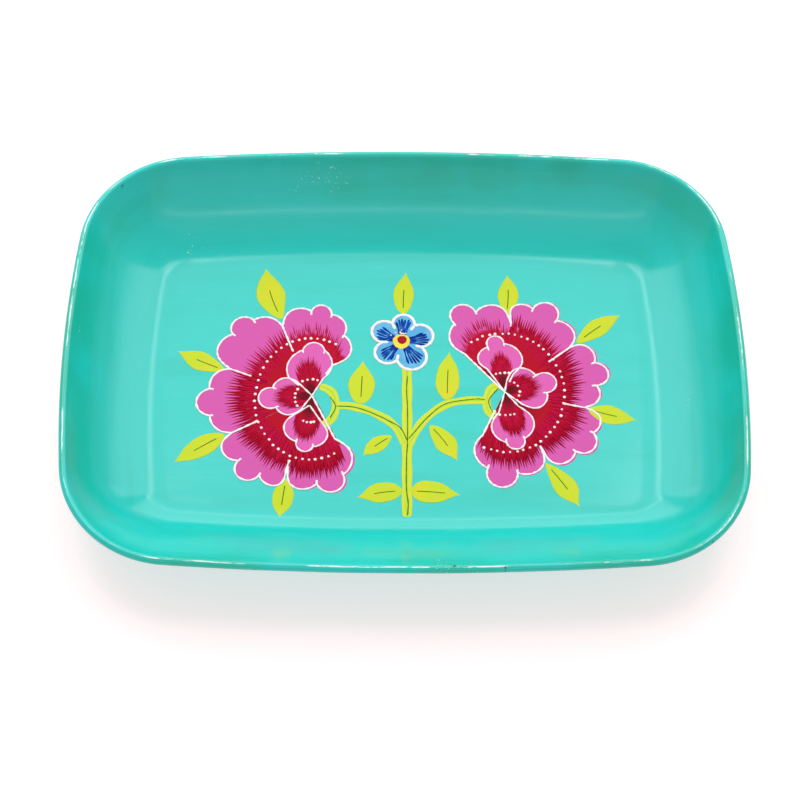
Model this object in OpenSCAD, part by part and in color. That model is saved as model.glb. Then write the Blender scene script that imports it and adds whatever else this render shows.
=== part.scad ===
// A painted steel tray with sloping walls. The pan is pressed from one sheet, and its edge is
// rolled outwards round a wire. The floral motif is built up on the floor in thin coats of paint,
// each coat lying on the one below it.
//
// Origin: centre of the underside of the base. +X runs along the tray and +Z is up.

/* [Tray] */
// Length over the rolled rim
tray_l = 300; // [280:1:360]
// Width over the rolled rim
tray_w = 216; // [200:1:260]
// Height over the rolled rim
tray_h = 31.5; // [28:0.5:36]
// Radius of the corners, at the outside of the rim
corner_r = 50; // [48:1:60]
// How far each long side bows outwards
long_bow = 8; // [4:0.5:12]
// How far each short side bows outwards
short_bow = 10; // [5:0.5:12]

/* [Wall] */
// Inside radius of the bend at the foot of the wall
foot_r = 22; // [14:1:24]
// Slope of the wall at the top of the foot bend, in degrees
foot_angle = 28; // [24:1:32]
// Slope of the wall where it meets the rim, in degrees
lip_angle = 58; // [54:1:62]

/* [Sheet and wire] */
// Thickness of the pressed sheet
sheet_t = 0.8; // [0.6:0.1:1]
// Diameter of the wire inside the rolled rim
wire_d = 2; // [1.6:0.1:2.4]
// How far round the wire the edge is rolled, in degrees
roll_turn = 290; // [240:5:295]
// How much each face of the sheet is drawn in at the corners, where pressing stretches it
corner_thin = 0.05; // [0.04:0.01:0.1]

/* [Paint] */
// Thickness of one coat of motif paint
coat_t = 0.1; // [0.08:0.01:0.2]
// Width of the white line round each petal
outline_w = 0.9; // [0.6:0.1:1.2]
// Width of the dark vein lines
vein_w = 0.5; // [0.3:0.1:0.8]
// Diameter of the white dots
dot_d = 1.2; // [0.8:0.1:1.6]
// Width of the main stem
stem_w = 4.6; // [3:0.1:6]
// Width of each branch of the stem
branch_w = 4; // [3:0.1:5]

/* [Hidden] */

curve_fn = 96;      // facets of a small circle on screen
curve_gap = 0.02;   // how far the facets of a wide arc may stray from the true curve
wire_play = 0.03;   // gap between the wire and the sheet rolled round it
flat_lap = 2;       // width of floor that is swept along with the wall
corner_lap = 0.4;   // how far each corner runs on into the sides, in degrees
foot_steps = 5;     // flats that make up the foot bend
wall_steps = 6;     // flats that make up the wall's curve
roll_steps = 20;    // flats that make up the roll round the wire
lobe_steps = 6;     // points on one lobe of a petal
leaf_steps = 8;     // points on one edge of a leaf
branch_steps = 8;   // points along a branch of the stem
rim_steps = 10;     // points along each arc of the floor's edge

// Plan of the rim: each side is a wide arc, joined by corner arcs that run on smoothly from both
half_l = tray_l / 2;
half_w = tray_w / 2;
long_r = (half_l * half_l + long_bow * long_bow) / (2 * long_bow);
short_r = (half_w * half_w + short_bow * short_bow) / (2 * short_bow);
long_c = [0, half_w - long_r];
short_c = [half_l - short_r, 0];
corner_c = meeting_point(long_c, long_r - corner_r, short_c, short_r - corner_r);
long_a = direction(corner_c - long_c);
short_a = direction(corner_c - short_c);
// Each arc is [centre, radius, start angle, end angle]. These are the arcs of one half of the rim
side_arcs = [
  [short_c, short_r, -short_a, short_a],
  [long_c, long_r, long_a, 180 - long_a]
];
corner_arcs = [
  [corner_c, corner_r, short_a, long_a],
  [[-corner_c[0], corner_c[1]], corner_r, 180 - long_a, 180 - short_a]
];

// Section of the wall and rim: x = 0 is the outside of the rim and x runs outwards
roll_r = wire_d / 2 + wire_play + sheet_t;
wire_c = [-roll_r, tray_h - roll_r];
lip = wire_c + roll_r * unit(90 + lip_angle);
wall_rise = lip[1] - sheet_t - foot_r * (1 - cos(foot_angle));
wall_r = wall_rise / (cos(foot_angle) - cos(lip_angle));
wall_c = lip - wall_r * unit(lip_angle - 90);
foot_c = wall_c + (wall_r - foot_r) * unit(foot_angle - 90);

// Coats of paint, counted up from the floor
coat_z = [for (i = [0:2]) sheet_t + i * coat_t];

// Each petal is [cusp, crown of a lobe, cusp, crown, ... cusp]: its scalloped edge, from side to side
left_hub = [-41.5, -7];
left_petal_edges = [
  [[-55.5, 30], [-50.5, 39], [-42.5, 38], [-37.5, 41.5], [-33, 36.5], [-27, 32], [-27.5, 25],
   [-24, 18.5], [-32.5, 9]],
  [[-55.5, 30], [-61, 34.5], [-69, 33], [-76, 34], [-78, 25.5], [-85, 17], [-79, 7]],
  [[-79, 7], [-86, 3.5], [-87.5, -3.5], [-93, -9], [-87, -17.5], [-84.5, -23.5], [-76.5, -26]],
  [[-76.5, -26], [-81, -34], [-73, -40], [-73, -48.5], [-64, -47.5], [-58.5, -52.5], [-51.5, -42.5]],
  [[-51.5, -42.5], [-46.5, -54], [-38.5, -51.5], [-30.5, -55.5], [-27, -47], [-23, -40], [-31, -29]]
];
left_heart_edges = [
  [[-52, 2.5], [-52.5, 10], [-46, 17], [-41, 21], [-36, 17], [-32.5, 11], [-36.5, 2]],
  [[-48, 0], [-55, 2], [-59, -3], [-65.5, -7.5], [-57.5, -13], [-53.5, -16.5], [-46.5, -14.5]],
  [[-48, -16], [-53.5, -24], [-48, -30.5], [-45, -35.5], [-40.5, -33], [-35.5, -30.5], [-37.5, -20]]
];
right_hub = [45.5, -4.5];
right_petal_edges = [
  [[49.5, 32], [41, 42], [33.5, 38], [24, 41], [23.5, 31.5], [21, 25.5], [28, 15.5]],
  [[49.5, 32], [54, 42.5], [60, 40], [68.5, 42.5], [70.5, 33.5], [78.5, 27], [76, 19]],
  [[76, 19], [83, 20], [87, 11], [93, 4], [87, -1], [88.5, -6], [81.5, -12.5]],
  [[81.5, -12.5], [88, -20], [84.5, -25.5], [84.5, -33.5], [76, -35], [71, -41], [60.5, -32]],
  [[60.5, -32], [59.5, -44.5], [50, -46], [43, -53], [37, -43.5], [31, -35], [35, -27]]
];
right_heart_edges = [
  [[38, 7.5], [34, 13.5], [38.5, 19], [42, 25], [46, 21], [54, 14], [49.5, 4.5]],
  [[46.5, 1], [53, 8], [60, 4], [69, 1], [64.5, -5], [62.5, -11.5], [53.5, -11]],
  [[51.5, -12], [58, -23], [53.5, -28.5], [50.5, -34], [45.5, -30.5], [39.5, -24.5], [42.5, -15.5]]
];
blue_centre = [-1, 22];
blue_edge = [[5, 30.5], [0.5, 36.5], [-5, 31.5], [-14.5, 28], [-9.5, 21.5], [-11, 11.5], [-3, 12],
             [8, 8.5], [8, 19], [13.5, 24], [5, 30.5]];
eye_r = 3.9;        // the blue flower's yellow centre
spot_r = 2.2;       // the red spot on it

// Stem: one straight main stem with a curved branch to each large flower
stem_top = [1.5, 8];
stem_foot = [1, -68];
fork = [1.5, -31];
branch_bends = [[-6, -13.5], [16, -4.5]];
branch_ends = [[-31, -12], [37, -9]];
// The cup that holds each large flower is an arc through three points
flower_cups = [[[-39, -2], [-30.5, -12], [-37, -22.5]], [[44, -0.5], [37, -9.5], [41, -17.5]]];
cup_w = 3.6;
// The part of a leaf's length that its vein runs along
vein_span = [0.15, 0.6];

// Each leaf is [base, tip, width]
leaf_list = [
  [[-56, 34], [-64, 62], 13],
  [[-81.5, 6.5], [-103, 16.5], 9.5],
  [[-80, -27], [-102, -41.5], 10],
  [[-52, -49], [-54.5, -68.5], 9.5],
  [[0, 37], [1.5, 60.5], 9.5],
  [[-19.5, -11], [-18.5, 12], 12],
  [[-5.5, -27.5], [-18.5, -37.5], 7.5],
  [[-1, -55], [-21, -58.5], 10],
  [[3, -55], [25, -57], 11],
  [[11.5, -22], [23.5, -40], 9.5],
  [[19.5, -9], [21, 17], 11],
  [[47.5, 36.5], [48.5, 59], 9.5],
  [[79.5, 21.5], [100.5, 37], 9],
  [[83, -13.5], [104.5, -19], 9.5],
  [[62.5, -41], [76.5, -62.5], 10]
];

// Each row of dots is [centre, radius along X, radius along Y, start angle, end angle, count]
petal_dot_rows = [[[-42, -8], 25, 31.5, 64, 296, 36], [[45.5, -4.5], 27, 31, -112, 122, 38]];
heart_dot_rows = [
  [[-41.5, -7], 8.5, 8.5, 72, 120, 4],
  [[-41.5, -8], 7.8, 7.8, 145, 215, 5],
  [[-41.5, -11], 9.6, 9.6, 246, 279, 4],
  [[45.5, -4.5], 10, 10, 78, 112, 4],
  [[45.5, -4.5], 6.8, 6.8, -40, 48, 5],
  [[45.5, -4.5], 12.2, 12.2, 258, 290, 4]
];

// Unit vector at an angle from +X
function unit(angle) = [cos(angle), sin(angle)];
// Angle of a vector from +X
function direction(v) = atan2(v[1], v[0]);
// Where two circles cross, on the right hand of the line from p to q
function meeting_point(p, p_r, q, q_r) =
  let (gap = norm(q - p), along = (p_r * p_r - q_r * q_r + gap * gap) / (2 * gap),
       u = (q - p) / gap, across = sqrt(p_r * p_r - along * along))
  p + along * u + across * [u[1], -u[0]];
// Centre of the circle through three points
function circle_centre(p, m, q) =
  let (a = m - p, b = q - p, twice_area = 2 * (a[0] * b[1] - a[1] * b[0]))
  p + [b[1] * (a * a) - a[1] * (b * b), a[0] * (b * b) - b[0] * (a * a)] / twice_area;
// Points along an arc about c, without the first few
function arc_points(c, r, from, to, steps, skip = 0) =
  [for (i = [skip:steps]) c + r * unit(from + (to - from) * i / steps)];
// An angle brought into 0 to 360
function whole_turn(angle) = angle - 360 * floor(angle / 360);
// Facets that a full circle of this radius needs to stay within curve_gap
function facets(r) = ceil(180 / acos(1 - curve_gap / r));
// Points from p to q on the circle through p, m and q, moved outwards by grow
function arc_through(p, m, q, steps, grow = 0) =
  let (c = circle_centre(p, m, q), r = norm(p - c) + grow, start = direction(p - c),
       to_m = whole_turn(direction(m - c) - start), to_q = whole_turn(direction(q - c) - start),
       sweep = to_m < to_q ? to_q : to_q - 360)
  [for (i = [0:steps]) c + r * unit(start + sweep * i / steps)];
// The scalloped edge of a petal, as points
function scallops(edge) =
  [for (i = [0:2:len(edge) - 3]) each arc_through(edge[i], edge[i + 1], edge[i + 2], lobe_steps)];
// Point on a curve that bends from p towards m and on to q
function bend_point(p, m, q, t) = (1 - t) * (1 - t) * p + 2 * t * (1 - t) * m + t * t * q;
// Points round the rim line, moved inwards by inset
function rim_line(inset) =
  [for (turn = [1, -1], side = [0, 1], arc = [side_arcs[side], corner_arcs[side]],
        i = [0:rim_steps - 1])
     turn * (arc[0] + (arc[1] - inset) * unit(arc[2] + (arc[3] - arc[2]) * i / rim_steps))];

// Sweeps a section along arcs of the rim, on both halves, and on past each end by lap degrees
module along_arcs(arcs, lap = 0) {
  for (turn = [0, 180], arc = arcs)
    rotate(turn)
      translate(arc[0])
        rotate(arc[2] - lap)
          rotate_extrude(angle = arc[3] - arc[2] + 2 * lap, $fn = facets(arc[1]))
            translate([arc[1], 0]) children();
}

// Section of the sheet, with thin taken off each face: a strip of floor, the foot bend, the wall,
// and the roll round the wire
module sheet_section(thin = 0) {
  inside = thin;
  outside = sheet_t - thin;
  strip_x = foot_c[0] - flat_lap;
  roll_from = 90 + lip_angle;
  roll_to = roll_from - roll_turn;
  polygon(concat(
    [[strip_x, outside]],
    arc_points(foot_c, foot_r + inside, -90, foot_angle - 90, foot_steps),
    arc_points(wall_c, wall_r + inside, foot_angle - 90, lip_angle - 90, wall_steps, 1),
    arc_points(wire_c, roll_r - inside, roll_from, roll_to, roll_steps, 1),
    arc_points(wire_c, roll_r - outside, roll_to, roll_from, roll_steps),
    arc_points(wall_c, wall_r + outside, lip_angle - 90, foot_angle - 90, wall_steps, 1),
    arc_points(foot_c, foot_r + outside, foot_angle - 90, -90, foot_steps, 1),
    [[strip_x, inside]]));
}

// A line of even width that follows points
module stripe(points, width) {
  last = len(points) - 1;
  sides = [for (i = [0:last])
    let (ahead = points[min(i + 1, last)] - points[max(i - 1, 0)])
    width / 2 * [-ahead[1], ahead[0]] / norm(ahead)];
  polygon(concat([for (i = [0:last]) points[i] + sides[i]],
                 [for (i = [last:-1:0]) points[i] - sides[i]]));
}

// Flat outline of a petal: its scalloped edge, closed at the hub
module petal_shape(hub, edge) {
  polygon(concat([hub], scallops(edge)));
}

// Flat outline of a leaf: both edges are half waves that narrow to the base and the tip
module leaf_shape(base, tip, width) {
  along = tip - base;
  across = [-along[1], along[0]] / norm(along);
  fullness = 0.8;
  polygon(concat(
    [for (i = [0:leaf_steps])
       base + along * i / leaf_steps + across * width / 2 * pow(sin(180 * i / leaf_steps), fullness)],
    [for (i = [leaf_steps - 1:-1:1])
       base + along * i / leaf_steps - across * width / 2 * pow(sin(180 * i / leaf_steps), fullness)]));
}

// Petals that share one hub
module petals_shape(hub, edges) {
  for (edge = edges) petal_shape(hub, edge);
}

// Everything that the first coat of the three flowers covers
module flowers_shape() {
  petals_shape(left_hub, concat(left_petal_edges, left_heart_edges));
  petals_shape(right_hub, concat(right_petal_edges, right_heart_edges));
  polygon(scallops(blue_edge));
}

// All the leaves
module leaves_shape() {
  for (leaf = leaf_list) leaf_shape(leaf[0], leaf[1], leaf[2]);
}

// The stem, its branches and the cups at their ends
module stem_shape() {
  stripe([stem_top, stem_foot], stem_w);
  for (side = [0, 1]) {
    stripe([for (i = [0:branch_steps])
      bend_point(fork, branch_bends[side], branch_ends[side], i / branch_steps)], branch_w);
    cup = flower_cups[side];
    stripe(arc_through(cup[0], cup[1], cup[2], branch_steps), cup_w);
  }
}

// The white line along a scalloped edge, just inside it
module outline_shape(edge) {
  for (i = [0:2:len(edge) - 3])
    polygon(concat(
      arc_through(edge[i], edge[i + 1], edge[i + 2], lobe_steps),
      arc_through(edge[i + 2], edge[i + 1], edge[i], lobe_steps, -outline_w)));
}

// Dots spaced evenly along part of an ellipse
module dot_row(row) {
  for (i = [0:row[5] - 1]) {
    angle = row[3] + (row[4] - row[3]) * i / (row[5] - 1);
    translate(row[0] + [row[1] * cos(angle), row[2] * sin(angle)])
      circle(d = dot_d, $fn = curve_fn);
  }
}

// One coat of paint, as thick as coats say, on top of the coats below it
module coat(level, coats = 1) {
  translate([0, 0, coat_z[level]])
    linear_extrude(coats * coat_t) children();
}

module pan() {
  color("turquoise") {
    along_arcs(side_arcs) sheet_section();
    along_arcs(corner_arcs, corner_lap) sheet_section(corner_thin);
    linear_extrude(sheet_t) polygon(rim_line(flat_lap / 2 - foot_c[0]));
  }
}

module rim_wire() {
  color("silver")
    along_arcs(concat(side_arcs, corner_arcs)) translate(wire_c) circle(d = wire_d, $fn = curve_fn);
}

module stem() {
  color("yellowgreen")
    coat(0) difference() {
      stem_shape();
      leaves_shape();
      flowers_shape();
    }
}

module leaves() {
  color("greenyellow")
    coat(0) difference() {
      leaves_shape();
      flowers_shape();
    }
}

module left_petals() {
  color("orchid")
    coat(0) petals_shape(left_hub, concat(left_petal_edges, left_heart_edges));
}

module right_petals() {
  color("orchid")
    coat(0) petals_shape(right_hub, concat(right_petal_edges, right_heart_edges));
}

module left_heart() {
  color("crimson")
    coat(1) petals_shape(left_hub, left_heart_edges);
}

module right_heart() {
  color("crimson")
    coat(1) petals_shape(right_hub, right_heart_edges);
}

module blue_flower() {
  color("dodgerblue")
    coat(0) polygon(scallops(blue_edge));
}

module flower_eye() {
  color("gold")
    coat(1) translate(blue_centre) circle(eye_r, $fn = curve_fn);
}

module eye_spot() {
  color("firebrick")
    coat(2) translate(blue_centre) circle(spot_r, $fn = curve_fn);
}

module veins() {
  color("darkgreen")
    coat(1) {
      stripe([stem_top - [0, 2], stem_foot + [0, 2]], vein_w);
      for (side = [0, 1])
        stripe([for (i = [0:branch_steps])
          bend_point(fork, branch_bends[side], branch_ends[side], i / branch_steps)], vein_w);
      for (leaf = leaf_list)
        stripe([for (t = vein_span) leaf[0] + t * (leaf[1] - leaf[0])], vein_w);
    }
}

module petal_outlines() {
  color("white")
    coat(1) for (edge = concat(left_petal_edges, right_petal_edges, [blue_edge])) outline_shape(edge);
}

module heart_outlines() {
  color("white")
    coat(2) for (edge = concat(left_heart_edges, right_heart_edges)) outline_shape(edge);
}

module petal_dots() {
  color("white")
    coat(1, 2) for (row = petal_dot_rows) dot_row(row);
}

module heart_dots() {
  color("white")
    coat(2, 2) for (row = heart_dot_rows) dot_row(row);
}

pan();
rim_wire();
stem();
leaves();
left_petals();
right_petals();
left_heart();
right_heart();
blue_flower();
flower_eye();
eye_spot();
veins();
petal_outlines();
heart_outlines();
petal_dots();
heart_dots();
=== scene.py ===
"""The finished look of a painted steel tray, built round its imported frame.

The pan is one smooth sheet carried round the rim's plan. The motif is laid on its floor as a
painter lays it: flat films of colour, then tapered brush strokes, then raised white lines and dots.
Lengths in the classes are in millimetres, and meshes are in metres.
"""

import logging
from collections.abc import Sequence
from dataclasses import dataclass, field
from enum import Enum
from math import pi

import bmesh
import bpy
import numpy as np
from mathutils import Matrix, Vector


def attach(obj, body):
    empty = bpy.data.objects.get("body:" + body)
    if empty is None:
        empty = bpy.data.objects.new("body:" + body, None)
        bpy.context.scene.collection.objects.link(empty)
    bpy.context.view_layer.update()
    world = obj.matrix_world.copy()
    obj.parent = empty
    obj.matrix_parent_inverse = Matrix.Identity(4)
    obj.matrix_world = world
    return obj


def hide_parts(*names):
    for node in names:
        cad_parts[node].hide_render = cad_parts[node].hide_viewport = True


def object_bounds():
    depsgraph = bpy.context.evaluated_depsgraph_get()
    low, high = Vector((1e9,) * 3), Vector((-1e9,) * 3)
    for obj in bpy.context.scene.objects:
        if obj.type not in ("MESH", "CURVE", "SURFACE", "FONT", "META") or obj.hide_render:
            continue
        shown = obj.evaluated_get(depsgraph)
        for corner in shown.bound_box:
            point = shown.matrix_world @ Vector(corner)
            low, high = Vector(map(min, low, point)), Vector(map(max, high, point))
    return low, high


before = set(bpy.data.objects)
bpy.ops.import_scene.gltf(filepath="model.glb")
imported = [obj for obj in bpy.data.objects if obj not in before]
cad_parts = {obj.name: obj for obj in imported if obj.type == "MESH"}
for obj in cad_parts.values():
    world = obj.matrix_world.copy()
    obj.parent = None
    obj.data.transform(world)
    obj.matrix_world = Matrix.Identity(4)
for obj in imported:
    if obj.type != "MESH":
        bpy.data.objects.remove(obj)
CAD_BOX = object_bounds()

LOG = logging.getLogger("tray")
MM = 0.001
TURN = 2 * pi
BODY = "root"
SEED = 7
# A length too short to give a direction, then, in metres, the gap that is welded shut and the
# length of an edge that is dropped.
SHORTEST = 1e-12
WELD = 1e-7
SLIVER = 1e-8
# Radius of a film's rounded border, and distance between the sections of a raised line.
FILM_EDGE_R = 0.35
LINE_GAP = 0.3

Point = tuple[float, float]
Colour = tuple[float, float, float]


# ---------------------------------------------------------------- shapes as arrays


def unit(angle: np.ndarray | float) -> np.ndarray:
    """Unit vectors at these angles from +X, in radians."""
    return np.stack([np.cos(angle), np.sin(angle)], axis=-1)


def perpendicular(vectors: np.ndarray) -> np.ndarray:
    """Unit vectors a quarter turn to the left of these flat vectors."""
    left = np.stack([-vectors[..., 1], vectors[..., 0]], axis=-1)
    return left / np.maximum(np.linalg.norm(left, axis=-1, keepdims=True), SHORTEST)


def heading(vector: np.ndarray) -> float:
    """Angle of a flat vector from +X."""
    return float(np.arctan2(vector[1], vector[0]))


def arc_through(start: np.ndarray, crown: np.ndarray, end: np.ndarray, count: int) -> np.ndarray:
    """Points on the circle through three points, from the first past the second to the third.

    Args:
        start: first point.
        crown: point that the arc passes.
        end: last point.
        count: number of points.

    Returns:
        Array of count flat points, evenly spaced.
    """
    a, b = crown - start, end - start
    twice_area = 2 * (a[0] * b[1] - a[1] * b[0])
    centre = start + np.array([b[1] * (a @ a) - a[1] * (b @ b), a[0] * (b @ b) - b[0] * (a @ a)]) / twice_area
    first = heading(start - centre)
    to_crown = (heading(crown - centre) - first) % TURN
    to_end = (heading(end - centre) - first) % TURN
    sweep = to_end if to_crown < to_end else to_end - TURN
    return centre + np.linalg.norm(start - centre) * unit(first + sweep * np.linspace(0, 1, count))


def scallops(edge: Sequence[Point], per_lobe: int = 24) -> np.ndarray:
    """A petal's edge: one circular arc for each cusp, crown, cusp. An open edge runs out straighter
    at its two ends, on a parabola through the same three points.

    Args:
        edge: cusp, crown, cusp, crown, and so on to the last cusp.
        per_lobe: points on each lobe.

    Returns:
        Array of flat points along the whole edge.
    """
    points = np.array(edge, float)
    lobes = [arc_through(*points[i:i + 3], per_lobe) for i in range(0, len(points) - 2, 2)]
    share = np.linspace(0, 1, per_lobe)
    if np.any(points[0] != points[-1]):
        ends = ((0, points[:3], (1 - share) ** 2), (-1, points[-3:], share ** 2))
        for lobe, (start, crown, end), weight in ends:
            to_crown, to_end = np.linalg.norm(crown - start), np.linalg.norm(end - crown)
            t = to_crown / (to_crown + to_end)
            bend = (crown - (1 - t) ** 2 * start - t ** 2 * end) / (2 * t * (1 - t))
            lobes[lobe] = lobes[lobe] + weight[:, None] * (bent_line(start, bend, end, share) - lobes[lobe])
    return np.concatenate([lobe[:-1] for lobe in lobes] + [lobes[-1][-1:]])


def along_path(path: np.ndarray, share: np.ndarray) -> np.ndarray:
    """Points on a path of straight steps.

    Args:
        path: flat points in order.
        share: shares of the path's length, from 0 to 1.

    Returns:
        Array of flat points, one for each share.
    """
    steps = np.linalg.norm(np.diff(path, axis=0), axis=1)
    length = np.concatenate([[0], np.cumsum(steps)])
    where = share * length[-1]
    return np.stack([np.interp(where, length, path[:, axis]) for axis in (0, 1)], axis=-1)


def path_length(path: np.ndarray) -> float:
    """Length of a path of points."""
    return float(np.linalg.norm(np.diff(path, axis=0), axis=1).sum())


def bent_line(start: np.ndarray, bend: np.ndarray, end: np.ndarray, share: np.ndarray) -> np.ndarray:
    """Quadratic curve from start towards bend and on to end, at these shares of the way."""
    t = np.asarray(share)[..., None]
    return (1 - t) ** 2 * start + 2 * t * (1 - t) * bend + t ** 2 * end


def smooth_path(points: Sequence[Point], count: int) -> np.ndarray:
    """A smooth curve through points: a Catmull-Rom spline, whose slope at each point is half the
    step between its neighbours.

    Args:
        points: points that the curve passes, in order.
        count: number of points to return.

    Returns:
        Array of flat points evenly spread over the spans.
    """
    p = np.array(points, float)
    p = np.concatenate([[2 * p[0] - p[1]], p, [2 * p[-1] - p[-2]]])
    place = np.linspace(0, len(points) - 1, count)
    span = np.minimum(place.astype(int), len(points) - 2)
    t = (place - span)[:, None]
    a, b, c, d = p[span], p[span + 1], p[span + 2], p[span + 3]
    return 0.5 * (2 * b + (c - a) * t + (2 * a - 5 * b + 4 * c - d) * t ** 2
                  + (3 * b - a - 3 * c + d) * t ** 3)


def raised(flat: np.ndarray, height: np.ndarray | float) -> np.ndarray:
    """Flat points given a height as their third number."""
    return np.concatenate([flat, np.broadcast_to(height, flat.shape[:-1])[..., None]], -1)


def rounded(distance: np.ndarray, radius: float) -> np.ndarray:
    """Quarter-round rise from 0 at a border to 1 at radius from it and beyond."""
    inward = np.clip(distance / radius, 0, 1)
    return np.sqrt(np.maximum(1 - (1 - inward) ** 2, 0))


def clustered(count: int, border: float) -> np.ndarray:
    """Shares from 0 to 1 that crowd close to both ends, to shape a rounded border there.

    Args:
        count: evenly spaced shares between the borders.
        border: share of the way that a border takes up.

    Returns:
        Rising array of shares.
    """
    near = border * np.array([0, 0.12, 0.35, 0.65])
    return np.concatenate([near, np.linspace(border, 1 - border, count), 1 - near[::-1]])


# ---------------------------------------------------------------- meshes


class Slot(Enum):
    """Names of material slots."""

    ENAMEL = "turquoise_enamel"
    STEM = "stem_green"
    LEAF = "leaf_yellow_green"
    PINK = "petal_pink"
    CRIMSON = "heart_crimson"
    BLUE = "flower_blue"
    YELLOW = "eye_yellow"
    RED = "spot_red"
    VEIN = "vein_dark_green"
    WHITE = "line_white"


@dataclass(frozen=True)
class Ground:
    """The tray's floor and the foot bend of its near wall, which lifts the paint laid on it."""

    centre_y: float
    radius: float
    bend_r: float

    def rise(self, flat: np.ndarray) -> np.ndarray:
        """Height of the surface above the floor: a circle of the bend's radius, begun where the
        distance from the near side's centre passes its radius."""
        past = np.linalg.norm(flat - np.array([0, self.centre_y]), axis=-1) - self.radius
        return self.bend_r - np.sqrt(self.bend_r ** 2 - np.clip(past, 0, self.bend_r) ** 2)


@dataclass
class Skin:
    """Grids of points collected into one closed mesh, with values that its finish reads."""

    ground: Ground | None = None
    points: list[np.ndarray] = field(default_factory=list)
    faces: list[np.ndarray] = field(default_factory=list)
    values: list[dict[str, np.ndarray]] = field(default_factory=list)
    count: int = 0

    def add(self, grid: np.ndarray, wrap: bool = False, **values: np.ndarray | float) -> None:
        """Adds copies of a grid of points, each a sheet of rows and columns.

        Args:
            grid: array of copies, rows, columns and x, y, z, in millimetres.
            wrap: whether the last column joins the first.
            **values: a number for each point, or one that stands for all, by name.
        """
        copies, rows, columns, _ = grid.shape
        across = columns if wrap else columns - 1
        row = np.arange(rows - 1)[:, None] * columns
        here, there = np.arange(across)[None], (np.arange(across)[None] + 1) % columns
        quads = np.stack([row + here, row + columns + here, row + columns + there, row + there], -1)
        copy = self.count + np.arange(copies)[:, None, None] * rows * columns
        self.faces.append((copy + quads.reshape(1, -1, 4)).reshape(-1, 4))
        if self.ground:
            grid = raised(grid[..., :2], grid[..., 2] + self.ground.rise(grid[..., :2]))
        self.points.append(grid.reshape(-1, 3) * MM)
        self.count += copies * rows * columns
        self.values.append({name: np.broadcast_to(value, grid.shape[:-1]).ravel()
                            for name, value in values.items()})

    def film(self, plan: np.ndarray, lift: np.ndarray, level: np.ndarray | float,
             **values: np.ndarray | float) -> None:
        """Adds a film of paint: a domed top over a flat underside, which meet where lift is 0.

        Args:
            plan: array of rows, columns and x, y.
            lift: height of the top above level, for each point.
            level: height of the underside.
            **values: a number for each point, by name.
        """
        for rise in (lift, np.zeros_like(lift)):
            self.add(raised(plan, level + rise)[None], **values)

    def build(self, name: str, slot: Slot, *replaced: str) -> None:
        """Welds seams and poles, turns faces outwards and makes the piece.

        Args:
            name: the piece's name.
            slot: not used.
            *replaced: nodes of the frame that it stands for.
        """
        mesh = bpy.data.meshes.new(name)
        points, faces = np.concatenate(self.points), np.concatenate(self.faces)
        mesh.vertices.add(len(points))
        mesh.vertices.foreach_set("co", points.astype(np.float32).ravel())
        mesh.loops.add(faces.size)
        mesh.loops.foreach_set("vertex_index", faces.astype(np.int32).ravel())
        mesh.polygons.add(len(faces))
        mesh.polygons.foreach_set("loop_start", np.arange(0, faces.size, 4, dtype=np.int32))
        for label in sorted(set().union(*self.values)):
            whole = np.concatenate([part.get(label, np.zeros(len(at)))
                                    for part, at in zip(self.values, self.points)])
            mesh.attributes.new(label, "FLOAT", "POINT").data.foreach_set("value", whole.astype(np.float32))
        mesh.update(calc_edges=True)
        shell = bmesh.new()
        shell.from_mesh(mesh)
        bmesh.ops.remove_doubles(shell, verts=shell.verts, dist=WELD)
        bmesh.ops.dissolve_degenerate(shell, dist=SLIVER, edges=shell.edges)
        bmesh.ops.recalc_face_normals(shell, faces=shell.faces)
        shell.to_mesh(mesh)
        shell.free()
        mesh.shade_smooth()
        piece = bpy.data.objects.new(name, mesh)
        bpy.context.scene.collection.objects.link(piece)
        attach(piece, BODY)
        if replaced:
            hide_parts(*replaced)
        LOG.info("%s: %d vertices, %d faces", name, len(mesh.vertices), len(mesh.polygons))


def ribbon(skin: Skin, path: np.ndarray, width: float, height: float, level: float,
           rough: float = 0.0, rng: np.random.Generator | None = None) -> None:
    """Lays a raised line of paint along a path: a half-round section carried along it, narrowing
    to a round end at both ends.

    Args:
        skin: the mesh that takes the line.
        path: flat points that it follows.
        width: width of the line.
        height: height of its crown.
        level: height of the surface that it lies on.
        rough: share by which its width comes and goes.
        rng: source of the waver in its width.
    """
    total = path_length(path)
    near = np.array([0.1, 0.35, 0.7]) * width / total
    share = np.unique(np.concatenate([np.linspace(0, 1, max(int(total / LINE_GAP), 6)), near, 1 - near]))
    line = along_path(path, share)
    aside = perpendicular(np.gradient(line, axis=0))
    end = rounded(np.minimum(share, 1 - share) * total, width * 0.7)
    if rng is not None:
        wave = np.sin(share[:, None] * total * rng.uniform(0.6, 2.6, 4) + rng.uniform(0, TURN, 4)).mean(-1)
        end = end * (1 + rough * wave)
    turn = np.linspace(0, pi, 6)
    half = width / 2 * end
    flat = line[:, None] + aside[:, None] * (half[:, None] * np.cos(turn))[..., None]
    lift = level + height * end[:, None] * np.sin(turn)
    skin.add(raised(flat, lift)[None], wrap=True)


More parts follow.
